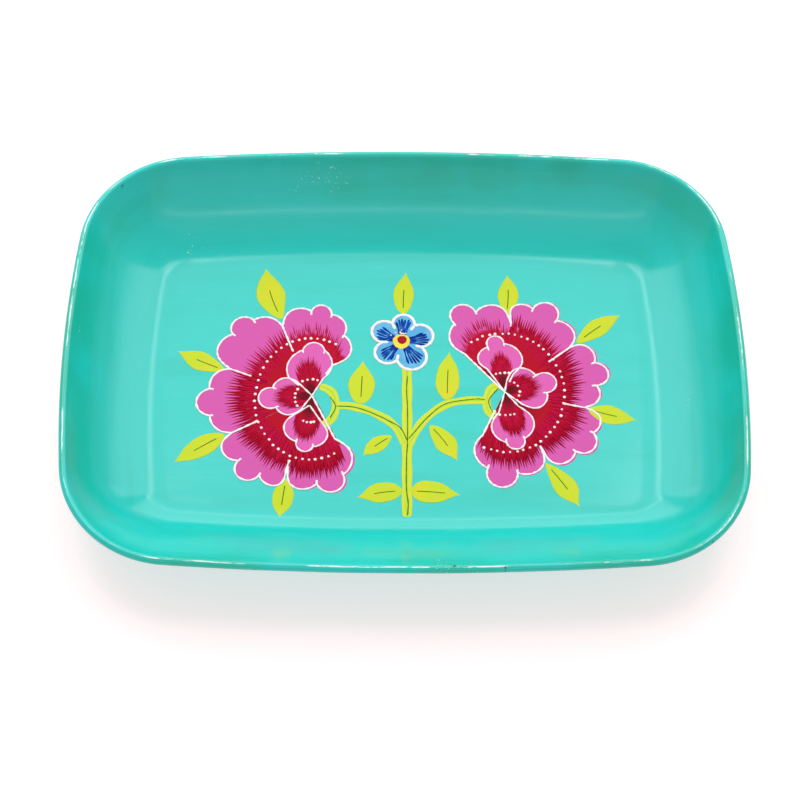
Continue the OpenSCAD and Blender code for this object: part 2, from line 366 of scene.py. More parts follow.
def strokes(skin: Skin, base: np.ndarray, tip: np.ndarray, width: np.ndarray, bend: np.ndarray,
            level: float, height: float, tone: np.ndarray) -> None:
    """Lays tapered brush strokes: a three-cornered section carried from base to tip along a slight
    curve, widest soon after the base and drawn out to a point.

    Args:
        skin: the mesh that takes the strokes.
        base: where each stroke starts.
        tip: where each stroke ends.
        width: greatest width of each.
        bend: how far the middle of each stands off its straight line.
        level: height of the surface that they lie on.
        height: height of each ridge.
        tone: shade of each stroke, from 0 to 1.
    """
    t = np.array([0, 0.06, 0.2, 0.4, 0.6, 0.8, 0.92, 1.0])
    taper = np.array([0, 0.8, 1.0, 0.85, 0.62, 0.36, 0.16, 0.0])
    aside = perpendicular(tip - base)
    sway = bend[:, None] * 4 * t * (1 - t)
    line = base[:, None] + (tip - base)[:, None] * t[:, None] + aside[:, None] * sway[..., None]
    half = width[:, None] / 2 * taper
    reach = aside[:, None] * half[..., None]
    flat = np.stack([line + reach, line, line - reach], axis=2)
    lift = np.stack([0 * taper, height * taper, 0 * taper], -1)
    skin.add(raised(flat, level + lift), wrap=True, tone=tone[:, None, None])


def dots(skin: Skin, centres: np.ndarray, radii: np.ndarray, level: float, height: float) -> None:
    """Lays round drops of paint: a half-round profile turned about each centre.

    Args:
        skin: the mesh that takes the dots.
        centres: flat centre of each dot.
        radii: radius of each dot.
        level: height of the surface that they lie on.
        height: height of each crown.
    """
    rise = np.radians([0, 25, 50, 72, 90])
    ring = unit(np.linspace(0, TURN, 12, endpoint=False))
    out = np.concatenate([np.sin(rise), [0]])
    up = np.concatenate([np.cos(rise), [0]])
    flat = centres[:, None, None] + radii[:, None, None, None] * out[:, None, None] * ring
    skin.add(raised(flat, level + height * up[:, None]), wrap=True)


# ---------------------------------------------------------------- finishes


@dataclass(frozen=True)
class Spots:
    """Patches cut out of noise, from the value where one starts to the value where it is full."""

    scale: float
    detail: float
    start: float
    full: float
    rough: float = 0.5


@dataclass
class Shader:
    """A node tree that is being written, of a material or of a shared group."""

    tree: bpy.types.NodeTree

    def add(self, kind: str, inputs: dict[str | int, object] | None = None,
            **settings: object) -> bpy.types.Node:
        """Adds a node, sets its options, and links or fills its inputs.

        Args:
            kind: the node's type name.
            inputs: a socket to link from, or a constant, for each input by name or place.
            **settings: the node's options.

        Returns:
            The new node.
        """
        node = self.tree.nodes.new(kind)
        for option, value in settings.items():
            setattr(node, option, value)
        for where, value in (inputs or {}).items():
            if isinstance(value, bpy.types.NodeSocket):
                self.tree.links.new(value, node.inputs[where])
            else:
                node.inputs[where].default_value = value
        return node

    def value(self, name: str) -> bpy.types.NodeSocket:
        """A number that the piece's mesh carries under this name."""
        return self.add("ShaderNodeAttribute", attribute_name=name).outputs["Fac"]

    def place(self) -> bpy.types.NodeSocket:
        """Position on the piece, in metres."""
        return self.add("ShaderNodeTexCoord").outputs["Object"]

    def sum(self, operation: str, a: object, b: object, c: object = 0.5) -> bpy.types.NodeSocket:
        """One step of arithmetic on numbers."""
        return self.add("ShaderNodeMath", {0: a, 1: b, 2: c}, operation=operation).outputs[0]

    def ramp(self, value: object, low: float, high: float, bottom: float = 0.0,
             top: float = 1.0) -> bpy.types.NodeSocket:
        """Smooth change from bottom to top as value goes from low to high."""
        return self.add("ShaderNodeMapRange", {"Value": value, "From Min": low, "From Max": high,
                                               "To Min": bottom, "To Max": top},
                        interpolation_type="SMOOTHSTEP").outputs[0]

    def mix(self, share: object, a: object, b: object) -> bpy.types.NodeSocket:
        """Colour that goes from a to b as share goes from 0 to 1."""
        a, b = ((*c, 1.0) if isinstance(c, tuple) else c for c in (a, b))
        return self.add("ShaderNodeMix", {0: share, 6: a, 7: b}, data_type="RGBA").outputs[2]

    def noise(self, vector: object, scale: object, detail: float, rough: float = 0.5) -> bpy.types.NodeSocket:
        """Even noise from 0 to 1."""
        return self.add("ShaderNodeTexNoise", {"Vector": vector, "Scale": scale, "Detail": detail,
                                               "Roughness": rough}).outputs["Fac"]

    def spots(self, vector: object, kind: Spots) -> bpy.types.NodeSocket:
        """Noise cut off into patches of this kind: 1 inside a patch and 0 outside."""
        return self.ramp(self.noise(vector, kind.scale, kind.detail, kind.rough), kind.start, kind.full)

    def joined(self, x: object, y: object, z: object = 0.0) -> bpy.types.NodeSocket:
        """A vector made of three numbers."""
        return self.add("ShaderNodeCombineXYZ", {0: x, 1: y, 2: z}).outputs[0]

    def stretched(self, vector: object, by: tuple[float, float, float]) -> bpy.types.NodeSocket:
        """A vector with each of its numbers multiplied."""
        return self.add("ShaderNodeVectorMath", {0: vector, 1: by}, operation="MULTIPLY").outputs[0]


def new_group(name: str, inputs: dict[str, str],
              outputs: list[str]) -> tuple[Shader, bpy.types.Node, bpy.types.Node]:
    """Starts a shared node group with named sockets.

    Args:
        name: the group's name.
        inputs: kind of socket, by name.
        outputs: names of the numbers that it puts out.

    Returns:
        The group's shader writer, its input node and its output node.
    """
    tree = bpy.data.node_groups.new(name, "ShaderNodeTree")
    for label, kind in inputs.items():
        tree.interface.new_socket(name=label, in_out="INPUT", socket_type=kind)
    for label in outputs:
        tree.interface.new_socket(name=label, in_out="OUTPUT", socket_type="NodeSocketFloat")
    return Shader(tree), tree.nodes.new("NodeGroupInput"), tree.nodes.new("NodeGroupOutput")


def brush_marks() -> bpy.types.NodeTree:
    """Streaks that a brush leaves: noise drawn out along the stroke, broad bands under fine hairs.

    Returns:
        The group. Its inputs are the place along and across the strokes, and how closely bands and
        hairs follow each other. Its outputs are Bands, Hairs and their weighted sum as Height.
    """
    group, given, result = new_group("brush_marks", {
        "Stroke": "NodeSocketVector", "Bands": "NodeSocketFloat", "Hairs": "NodeSocketFloat"},
        ["Bands", "Hairs", "Height"])
    stroke, band_scale, hair_scale = (given.outputs[label] for label in ("Stroke", "Bands", "Hairs"))
    bands = group.noise(stroke, band_scale, 3.0, 0.6)
    hairs = group.noise(stroke, hair_scale, 2.0, 0.55)
    height = group.sum("MULTIPLY_ADD", bands, 0.6, group.sum("MULTIPLY", hairs, 0.4))
    for socket, value in zip(result.inputs, (bands, hairs, height)):
        group.tree.links.new(value, socket)
    return group.tree


Look = tuple[bpy.types.NodeSocket, bpy.types.NodeSocket, bpy.types.NodeSocket]


@dataclass(frozen=True)
class Finish:
    """A glossy paint. Its colour and relief come from the subclass."""

    name: str
    roughness: float
    specular: float
    bump: float

    def material(self, marks: bpy.types.NodeTree) -> bpy.types.Material:
        """Builds the material.

        Args:
            marks: the shared group of brush marks.

        Returns:
            A material whose colour and bump vary over the piece.
        """
        made = bpy.data.materials.new(self.name)
        made.use_nodes = True
        shader = Shader(made.node_tree)
        surface = made.node_tree.nodes["Principled BSDF"]
        surface.inputs["Specular IOR Level"].default_value = self.specular
        colour, height, rough = self.look(shader, marks)
        made.node_tree.links.new(colour, surface.inputs["Base Color"])
        made.node_tree.links.new(rough, surface.inputs["Roughness"])
        bump = shader.add("ShaderNodeBump", {"Height": height, "Strength": 1.0, "Distance": self.bump * MM})
        made.node_tree.links.new(bump.outputs[0], surface.inputs["Normal"])
        return made

    def streaks(self, shader: Shader, marks: bpy.types.NodeTree, stroke: object, bands: float,
                hairs: float) -> bpy.types.Node:
        """Places the shared group of brush marks."""
        return shader.add("ShaderNodeGroup", {"Stroke": stroke, "Bands": bands, "Hairs": hairs},
                          node_tree=marks)

    def dulled(self, shader: Shader, guide: object, low: float, high: float,
               more: float) -> bpy.types.NodeSocket:
        """The paint's roughness, and more of it as guide goes from low to high."""
        return shader.ramp(guide, low, high, self.roughness, self.roughness + more)

    def look(self, shader: Shader, marks: bpy.types.NodeTree) -> Look:
        """Colour, relief and roughness. Each paint has its own."""
        raise NotImplementedError


@dataclass(frozen=True)
class Enamel(Finish):
    """The tray's turquoise enamel, brushed on along the walls and lengthwise on the floor."""

    body: Colour = (0.010, 0.53, 0.475)
    deep: Colour = (0.006, 0.485, 0.41)
    green: Colour = (0.010, 0.43, 0.30)
    pale: Colour = (0.045, 0.58, 0.52)
    bare: Colour = (0.05, 0.045, 0.04)
    # ground is the pale colour of painted highlights: the glints on the rim's crest and on the wall.
    ground: Colour = (0.70, 0.82, 0.80)
    wall_marks: tuple[float, float] = (110.0, 700.0)
    floor_marks: tuple[float, float] = (70.0, 500.0)
    floor_stretch: tuple[float, float, float] = (0.12, 1.0, 1.0)
    pale_hairs: float = 0.25
    patch_share: float = 0.85
    clouds: Spots = Spots(16.0, 3.0, 0.42, 0.64, 0.55)
    chips: Spots = Spots(260.0, 2.0, 0.70, 0.74)
    # Painted highlight on the rim's crest: broken glints, and the longer runs where they show.
    glint_dashes: Spots = Spots(700.0, 4.0, 0.49, 0.56, 0.75)
    glint_runs: Spots = Spots(28.0, 1.0, 0.44, 0.50)
    # Painted highlight on the wall: tiny glints, and the clusters that they gather in.
    glint_specks: Spots = Spots(1100.0, 1.0, 0.68, 0.78)
    glint_clusters: Spots = Spots(26.0, 1.0, 0.68, 0.74)

    def look(self, shader: Shader, marks: bpy.types.NodeTree) -> Look:
        """Streaks follow the rim on the wall and run lengthwise on the floor. Over them come
        cloudy greener patches high on the wall, a few chips at the rim, a painted highlight of broken
        pale glints along its crest, and clusters of tiny painted glints on the wall.

        Args:
            shader: writer of the material's nodes.
            marks: the shared group of brush marks.

        Returns:
            Colour, relief and roughness.
        """
        place = shader.place()
        rise, wall = shader.value("rise"), shader.value("wall")
        ring = shader.joined(shader.value("ring_x"), shader.value("ring_y"), shader.value("down"))
        flat = shader.stretched(place, self.floor_stretch)
        on_wall = self.streaks(shader, marks, ring, *self.wall_marks)
        on_floor = self.streaks(shader, marks, flat, *self.floor_marks)
        bands, hairs, height = (
            shader.add("ShaderNodeMix", {0: wall, 2: on_floor.outputs[k], 3: on_wall.outputs[k]}).outputs[0]
            for k in ("Bands", "Hairs", "Height"))
        patch = shader.sum("MULTIPLY", shader.spots(place, self.clouds), shader.ramp(rise, 0.25, 0.9))
        chip = shader.sum("MULTIPLY", shader.spots(place, self.chips), shader.ramp(rise, 0.93, 0.97))
        # Painted highlight: broken pale glints along the crest of the rolled rim.
        crest = shader.sum("MULTIPLY", shader.ramp(shader.value("crest"), 0.55, 0.9),
                           shader.spots(ring, self.glint_dashes))
        # Painted highlight: clusters of tiny pale glints.
        glint_speck = shader.sum("MULTIPLY", shader.spots(place, self.glint_specks),
                           shader.spots(place, self.glint_clusters))
        colour = self.body
        for share, paint in (
                (shader.ramp(bands, 0.45, 0.75, 0.0, 0.8), self.deep),
                (shader.sum("MULTIPLY", shader.ramp(hairs, 0.55, 0.85), self.pale_hairs), self.pale),
                (shader.sum("MULTIPLY", patch, self.patch_share), self.green),
                (chip, self.bare),
                # Painted highlight: pale glints along the rim's crest.
                (shader.sum("MULTIPLY", crest, shader.spots(place, self.glint_runs)), self.ground),
                # Painted highlight: tiny pale glints on the wall.
                (shader.sum("MULTIPLY", glint_speck, wall), self.ground)):
            colour = shader.mix(share, colour, paint)
        return colour, height, self.dulled(shader, hairs, 0.3, 0.75, 0.08)


@dataclass(frozen=True)
class PetalPaint(Finish):
    """Pink at the edge of a petal, crimson towards its root and dark where it starts."""

    edge: Colour = (0.61, 0.100, 0.385)
    blush: Colour = (0.65, 0.085, 0.27)
    inner: Colour = (0.42, 0.0, 0.016)
    core: Colour = (0.17, 0.0, 0.007)
    turn_low: float = 0.74
    turn_high: float = 0.80
    core_end: float = 0.44
    core_fade: float = 0.3
    cloud_scale: float = 60.0
    cloud_share: float = 0.5
    marks_scale: tuple[float, float] = (60.0, 260.0)
    waver: float = 0.10

    def look(self, shader: Shader, marks: bpy.types.NodeTree) -> Look:
        """Streaks run out from the root. The change to crimson wavers with them, and the change to
        the dark core comes and goes with cloudy noise.

        Args:
            shader: writer of the material's nodes.
            marks: the shared group of brush marks.

        Returns:
            Colour, relief and roughness.
        """
        reach, turn = shader.value("reach"), shader.value("turn")
        stroke = shader.joined(shader.sum("MULTIPLY", turn, 0.5), shader.sum("MULTIPLY", reach, 0.02))
        combed = self.streaks(shader, marks, stroke, *self.marks_scale)
        edge = shader.sum("MULTIPLY_ADD", combed.outputs["Hairs"], self.waver,
                          shader.sum("ADD", reach, -self.waver / 2))
        cloud = shader.noise(shader.place(), self.cloud_scale, 2.0)
        root = shader.sum("MULTIPLY_ADD", cloud, self.cloud_share, edge)
        pink = shader.mix(shader.ramp(combed.outputs["Bands"], 0.45, 0.95), self.edge, self.blush)
        crimson = shader.mix(shader.ramp(root, self.core_end, self.core_end + self.core_fade), self.core,
                             self.inner)
        colour = shader.mix(shader.ramp(edge, self.turn_low, self.turn_high), crimson, pink)
        return colour, combed.outputs["Height"], self.dulled(shader, cloud, 0.3, 0.7, 0.1)


@dataclass(frozen=True)
class TwoTone(Finish):
    """A paint that changes between two colours, by the stroke's own shade or by cloudy mottling."""

    one: Colour
    other: Colour
    guide: str = ""
    grain: float = 90.0
    stretch: tuple[float, float, float] = (1.0, 1.0, 1.0)
    low: float = 0.42
    high: float = 0.68
    guide_share: float = 0.75
    noise_share: float = 0.3
    hairs_per_band: float = 6.0

    def look(self, shader: Shader, marks: bpy.types.NodeTree) -> Look:
        """Mixes the two colours by noise, or by the value named as guide with noise added.

        Args:
            shader: writer of the material's nodes.
            marks: the shared group of brush marks.

        Returns:
            Colour, relief and roughness.
        """
        place = shader.stretched(shader.place(), self.stretch)
        mottle = self.streaks(shader, marks, place, self.grain, self.grain * self.hairs_per_band)
        share = mottle.outputs["Bands"]
        if self.guide:
            guided = shader.sum("MULTIPLY", shader.value(self.guide), self.guide_share)
            share = shader.sum("MULTIPLY_ADD", share, self.noise_share, guided)
        colour = shader.mix(shader.ramp(share, self.low, self.high), self.one, self.other)
        return colour, mottle.outputs["Height"], self.dulled(shader, mottle.outputs["Hairs"], 0.3, 0.7, 0.12)


# ---------------------------------------------------------------- the pan


# Place of the near long side among the rim's arcs.
NEAR_SIDE = 6


@dataclass(frozen=True)
class RimPlan:
    """The rim's outer line: four bowed sides that run smoothly into round corners."""

    half_l: float
    half_w: float
    corner_r: float = 50.0
    long_bow: float = 8.0
    short_bow: float = 10.0

    def arcs(self) -> np.ndarray:
        """The eight arcs that make up the line, each tangent to the next. A side's radius comes
        from its half length and its bow, and a corner's centre lies where circles round the two
        sides' centres, shorter by the corner's radius, cross.

        Returns:
            Centre x, centre y, radius, start angle and end angle of each arc, once round.
        """
        long_r = (self.half_l ** 2 + self.long_bow ** 2) / (2 * self.long_bow)
        short_r = (self.half_w ** 2 + self.short_bow ** 2) / (2 * self.short_bow)
        long_c = np.array([0, self.half_w - long_r])
        short_c = np.array([self.half_l - short_r, 0])
        from_long, from_short = long_r - self.corner_r, short_r - self.corner_r
        gap = np.linalg.norm(short_c - long_c)
        along = (from_long ** 2 - from_short ** 2 + gap ** 2) / (2 * gap)
        step = (short_c - long_c) / gap
        corner = long_c + along * step + np.sqrt(from_long ** 2 - along ** 2) * np.array([step[1], -step[0]])
        long_a, short_a = heading(corner - long_c), heading(corner - short_c)
        half = np.array([
            [*short_c, short_r, -short_a, short_a],
            [*corner, self.corner_r, short_a, long_a],
            [*long_c, long_r, long_a, pi - long_a],
            [-corner[0], corner[1], self.corner_r, pi - long_a, pi - short_a]])
        return np.concatenate([half, half * [-1, -1, 1, 1, 1] + [0, 0, 0, pi, pi]])

    def stations(self, count: int) -> tuple[np.ndarray, np.ndarray, np.ndarray, float]:
        """Places evenly spaced round the rim.

        Args:
            count: number of places.

        Returns:
            For each place the centre of its arc, the arc's radius and the outward direction, and
            the length of the whole line.
        """
        arcs = self.arcs()
        ends = np.concatenate([[0], np.cumsum(arcs[:, 2] * (arcs[:, 4] - arcs[:, 3]))])
        travelled = np.arange(count) / count * ends[-1]
        which = np.searchsorted(ends, travelled, side="right") - 1
        angle = arcs[which, 3] + (travelled - ends[which]) / arcs[which, 2]
        return arcs[which, :2], arcs[which, 2], unit(angle), float(ends[-1])


@dataclass(frozen=True)
class Pan:
    """The pressed sheet: flat floor, foot bend, curved wall and the edge rolled round a wire."""

    plan: RimPlan
    height: float
    sheet: float = 0.8
    wire: float = 2.0
    play: float = 0.03
    foot_r: float = 22.0
    foot_slope: float = 28.0
    lip_slope: float = 58.0
    roll: float = 290.0
    places: int = 720
    top_steps: tuple[int, int, int] = (8, 22, 30)
    under_steps: tuple[int, int, int] = (18, 14, 5)
    waves: int = 9
    uneven: float = 0.16
    wall_fade: float = 10.0
    crest_w: float = 0.55
    streak_length: float = 0.08

    def section(self) -> tuple[np.ndarray, np.ndarray, np.ndarray]:
        """The sheet's section from the middle of the floor, up the wall, round the wire and back
        underneath to the middle.

        Returns:
            Distance outwards from the rim's outer line, height, and the share by which the floor's
            rings are drawn in towards the middle.
        """
        slope, lip_slope = np.radians(self.foot_slope), np.radians(self.lip_slope)
        roll_r = self.wire / 2 + self.play + self.sheet
        wire_c = np.array([-roll_r, self.height - roll_r])
        lip = wire_c + roll_r * unit(pi / 2 + lip_slope)
        rise = lip[1] - self.sheet - self.foot_r * (1 - np.cos(slope))
        wall_r = rise / (np.cos(slope) - np.cos(lip_slope))
        wall_c = lip - wall_r * unit(lip_slope - pi / 2)
        foot_c = wall_c + (wall_r - self.foot_r) * unit(slope - pi / 2)
        turned = np.radians(self.roll)
        foot_n, wall_n, roll_n = self.top_steps
        roll_under_n, wall_under_n, foot_under_n = self.under_steps

        def bend(centre: np.ndarray, radius: float, start: float, end: float, count: int) -> np.ndarray:
            """Points on one bend of the section, without its last."""
            return centre + radius * unit(np.linspace(start, end, count, endpoint=False))

        top = [bend(foot_c, self.foot_r, -pi / 2, slope - pi / 2, foot_n),
               bend(wall_c, wall_r, slope - pi / 2, lip_slope - pi / 2, wall_n),
               bend(wire_c, roll_r, pi / 2 + lip_slope, pi / 2 + lip_slope - turned, roll_n)]
        under = [bend(wire_c, roll_r - self.sheet, pi / 2 + lip_slope - turned, pi / 2 + lip_slope,
                      roll_under_n),
                 bend(wall_c, wall_r + self.sheet, lip_slope - pi / 2, slope - pi / 2, wall_under_n),
                 bend(foot_c, self.foot_r + self.sheet, slope - pi / 2, -pi / 2, foot_under_n)]
        rings = np.array([0, 0.12, 0.3, 0.45, 0.6, 0.72, 0.82, 0.9, 0.96, 0.99])
        floor = np.stack([np.full(len(rings), foot_c[0]), np.full(len(rings), self.sheet)], -1)
        base = floor[::2] * [1, 0]
        points = np.concatenate([floor, *top, *under, [[foot_c[0], 0.0]], base])
        drawn_in = np.ones(len(points))
        drawn_in[:len(rings)] = rings
        drawn_in[-len(base):] = rings[::2][::-1]
        return points[:, 0], points[:, 1], drawn_in

    def ground(self) -> Ground:
        """The floor and the near wall's foot bend, for paint to lie on."""
        out, _, _ = self.section()
        _, centre_y, radius = self.plan.arcs()[NEAR_SIDE, :3]
        return Ground(centre_y, radius + out[0], self.foot_r)

    def build(self) -> None:
        """Carries the section round the rim's plan: each point stands off its arc's centre by the
        arc's radius plus its own distance outwards. The wall is a little uneven, as handwork is:
        a few low waves round the rim, which fade towards the floor."""
        out, up, drawn_in = self.section()
        centre, radius, outward, length = self.plan.stations(self.places)
        share = np.arange(self.places) / self.places * TURN
        rng = np.random.default_rng(SEED)
        waves = rng.integers(3, 24, self.waves)
        wobble = (np.sin(share[:, None] * waves + rng.uniform(0, TURN, self.waves)) / np.sqrt(waves)).sum(-1)
        rise = np.clip(up / self.height, 0, 1)
        push = self.uneven * wobble * (rise * (1.2 - rise))[:, None]
        stand = radius + out[:, None] + push
        flat = drawn_in[:, None, None] * (centre + stand[..., None] * outward)
        crept = np.concatenate([[0], np.cumsum(np.hypot(np.diff(out), np.diff(up)))])
        ring = unit(share) * length / TURN * MM
        wall = np.clip((out - out[0]) / self.wall_fade, 0, 1)
        # Band round the top of the roll, where the enamel's painted highlight lies.
        crest = np.exp(-((crept - crept[np.argmax(up)]) / self.crest_w) ** 2)
        skin = Skin()
        skin.add(raised(flat, up[:, None])[None], wrap=True,
                 rise=rise[:, None], wall=wall[:, None], down=(crept * MM)[:, None], crest=crest[:, None],
                 ring_x=ring[:, 0] * self.streak_length, ring_y=ring[:, 1] * self.streak_length)
        skin.build("painted_pan", Slot.ENAMEL, "pan")


# ---------------------------------------------------------------- the motif


@dataclass(frozen=True)
class Levels:
    """Heights of the coats of paint above the base: the floor, the first coat's thickness, the tops
    of the first and second coats, how far one petal lies under the next, the share of a film left
    where it spills, and a vein's thickness. The ground is the surface that they follow."""

    floor: float = 0.8
    film: float = 0.09
    second: float = 0.87
    heart: float = 0.93
    lap: float = 0.01
    thin: float = 0.6
    vein: float = 0.05
    ground: Ground | None = None


@dataclass(frozen=True)
class Petal:
    """One petal: a scalloped edge from side to side, joined to the flower's hub. Lines are how far
    the white line runs in from each side, tips how far out the strokes end, spill how far a first
    coat shows beside the petal, and root where its line runs to if not to the hub. The film's
    middle is a share of the way from the hub to the edge, and its streaks are counted in runs of
    that length along the edge."""

    edge: Sequence[Point]
    lines: tuple[float, float]
    tips: tuple[float, float, float]
    spill: Point | None = None
    root: Point | None = None
    middle_at: float = 0.62
    streak_run: float = 40.0

    def outline(self) -> np.ndarray:
        """The scalloped edge as points."""
        return scallops(self.edge)

    def fan(self, hub: np.ndarray, share: np.ndarray) -> tuple[np.ndarray, np.ndarray]:
        """Rays from the hub across the petal, at even steps of angle.

        Args:
            hub: the root of the petal.
            share: share of the way across, from 0 to 1.

        Returns:
            Direction of each ray, and the petal's own length there, smoothed over the scallops.
        """
        edge = self.outline() - hub
        angle = np.unwrap(np.arctan2(edge[:, 1], edge[:, 0]))
        far = np.linalg.norm(edge, axis=1)
        across = (angle - angle[0]) / (angle[-1] - angle[0])
        fit = np.polyfit(across, far, 2)
        return unit(angle[0] + share * (angle[-1] - angle[0])), np.polyval(fit, share)

    def tip_share(self, share: np.ndarray) -> np.ndarray:
        """How far out the brush strokes end, as a share of the petal's length: a quadratic through
        the values at one side, the middle and the other side."""
        one, middle, other = self.tips
        sides = one * (1 - share) * (1 - 2 * share) + other * share * (2 * share - 1)
        return sides + middle * 4 * share * (1 - share)

    def film(self, skin: Skin, hub: np.ndarray, level: float, thick: float,
             shift: Point = (0.0, 0.0)) -> None:
        """Lays the petal's film: rings drawn in from its whole outline towards its middle.

        Args:
            skin: the mesh that takes the film.
            hub: the root of the petal.
            level: height of its underside.
            thick: thickness away from its rounded border.
            shift: how far the film is laid off its line.
        """
        edge = self.outline()
        side = np.linspace(0, 1, 24)[1:, None]
        line = np.concatenate([edge, edge[-1] + side * (hub - edge[-1]), hub + side * (edge[0] - hub)])
        middle = hub + self.middle_at * (edge.mean(0) - hub)
        out = np.array([0, 0.12, 0.25, 0.37, 0.48, 0.58, 0.67, 0.75, 0.82, 0.88, 0.93, 0.97, 0.984,
                        0.993, 0.998, 1])
        plan = middle + out[:, None, None] * (line - middle)
        border = (1 - out)[:, None] * np.linalg.norm(line - middle, axis=1)
        away, ahead = plan - hub, heading(edge.mean(0) - hub)
        first, last, angle = ((np.arctan2(v[..., 1], v[..., 0]) - ahead + pi) % TURN - pi
                              for v in (edge[0] - hub, edge[-1] - hub, away))
        share = np.clip((angle - first) / (last - first), 0, 1)
        _, smooth = self.fan(hub, share)
        reach = np.linalg.norm(away, axis=-1) / smooth / self.tip_share(share)
        skin.film(plan + np.array(shift), thick * rounded(border, FILM_EDGE_R), level, reach=reach,
                  turn=share * path_length(edge) / self.streak_run)


@dataclass(frozen=True)
class Brush:
    """The brush that feathers crimson into pink: how far apart, wide and long its strokes are."""

    pitch: float
    width: float
    length: float


@dataclass(frozen=True)
class Peony:
    """A large flower: five outer petals, three inner ones on a second coat, and their brushwork.
    Each pass of the brush has an offset, and shares of the brush's width and the stroke's reach,
    and a shade."""

    side: str
    hub: Point
    petals: Sequence[Petal]
    hearts: Sequence[Petal]
    seed: int
    brush: Brush = Brush(1.8, 1.55, 11.0)
    small_brush: Brush = Brush(1.15, 0.95, 8.0)
    passes: tuple[tuple[float, float, float, float], ...] = ((0.5, 1.0, 1.0, 0.3), (0.0, 0.65, 0.88, 0.7))
    ridge: float = 0.035
    waver: float = 0.12
    barb_share: float = 0.3
    barb_w: float = 1.15
    drop_r: float = 0.75
    drop_h: float = 1.2
    short_run: float = 0.6

    def bristles(self, skin: Skin, petals: Sequence[Petal], brush: Brush, level: float,
                 rng: np.random.Generator) -> None:
        """Lays the strokes that feather each petal's crimson into its pink, in two passes: long
        ones, and finer and shorter ones between them.

        Args:
            skin: the mesh that takes the strokes.
            petals: petals to feather.
            brush: the brush used.
            level: height of the surface that they lie on.
            rng: source of each stroke's variation.
        """
        hub = np.array(self.hub)
        for petal in petals:
            arc = path_length(petal.outline())
            count = max(int(arc * petal.tips[1] / brush.pitch), 4)
            for offset, thick, further, shade in self.passes:
                share = (np.arange(count) + offset + rng.uniform(-0.12, 0.12, count)) / count
                ray, far = petal.fan(hub, share)
                tip = far * petal.tip_share(share) * further * rng.uniform(0.96, 1.04, count)
                root = np.maximum(tip - brush.length * rng.uniform(0.9, 1.15, count), tip * 0.35)
                strokes(skin, hub + ray * root[:, None], hub + ray * tip[:, None],
                        brush.width * thick * rng.uniform(0.85, 1.15, count),
                        rng.uniform(-0.18, 0.18, count), level, self.ridge,
                        shade + rng.uniform(-0.25, 0.25, count))

    def lines(self, skin: Skin, petals: Sequence[Petal], width: float, height: float, level: float,
              rng: np.random.Generator) -> None:
        """Lays the raised white line round each petal, its runs in towards the hub, a short barb at
        each inner cusp, and a drop where a run stops short.

        Args:
            skin: the mesh that takes the lines.
            petals: petals to outline.
            width: width of the line.
            height: height of its crown.
            level: height of the surface that it lies on.
            rng: source of the line's waver.
        """
        for petal in petals:
            hub = np.array(petal.root or self.hub)
            edge = petal.outline()
            first, last = petal.lines
            inward = [edge[end] + (hub - edge[end]) * share * np.linspace(0, 1, 5)[:, None]
                      for end, share in ((0, first), (-1, last))]
            path = np.concatenate([inward[0][:0:-1] if first else inward[0][:0], edge,
                                   inward[1][1:] if last else inward[1][:0]])
            path = path + self.waver * np.sin(np.linspace(0, 11, len(path)) + rng.uniform(0, TURN))[:, None]
            ribbon(skin, path, width, height, level, rough=0.42, rng=rng)
            cusps = np.array(petal.edge[2:-1:2])
            for cusp in cusps:
                inside = cusp + (hub - cusp) / np.linalg.norm(hub - cusp) * rng.uniform(1.3, 2.0)
                barb = np.stack([cusp - self.barb_share * (inside - cusp), inside])
                ribbon(skin, barb, width * self.barb_w, height, level)
            if 0 < last < self.short_run:
                dots(skin, path[-1:], np.array([width * self.drop_r]), level, height * self.drop_h)

    def build(self, levels: Levels) -> None:
        """Builds the flower's films and strokes as four pieces.

        Args:
            levels: heights of the coats.
        """
        rng = np.random.default_rng(self.seed)
        hub = np.array(self.hub)
        outer, inner, strokes_on, heart_strokes = (Skin() for _ in range(4))
        for step, petal in enumerate(self.petals):
            base = levels.floor - levels.lap * step
            if petal.spill:
                petal.film(outer, hub, base, levels.film * levels.thin, petal.spill)
            petal.film(outer, hub, base, levels.film)
        for step, petal in enumerate(self.hearts):
            petal.film(inner, hub, levels.second - levels.lap * step, levels.heart - levels.second)
        self.bristles(strokes_on, self.petals, self.brush, levels.second, rng)
        self.bristles(heart_strokes, self.hearts, self.small_brush, levels.heart - levels.lap, rng)
        outer.build(f"{self.side}_petal_paint", Slot.PINK, f"{self.side}_petals")
        strokes_on.build(f"{self.side}_petal_strokes", Slot.CRIMSON)
        inner.build(f"{self.side}_heart_paint", Slot.CRIMSON, f"{self.side}_heart")
        heart_strokes.build(f"{self.side}_heart_strokes", Slot.CRIMSON)


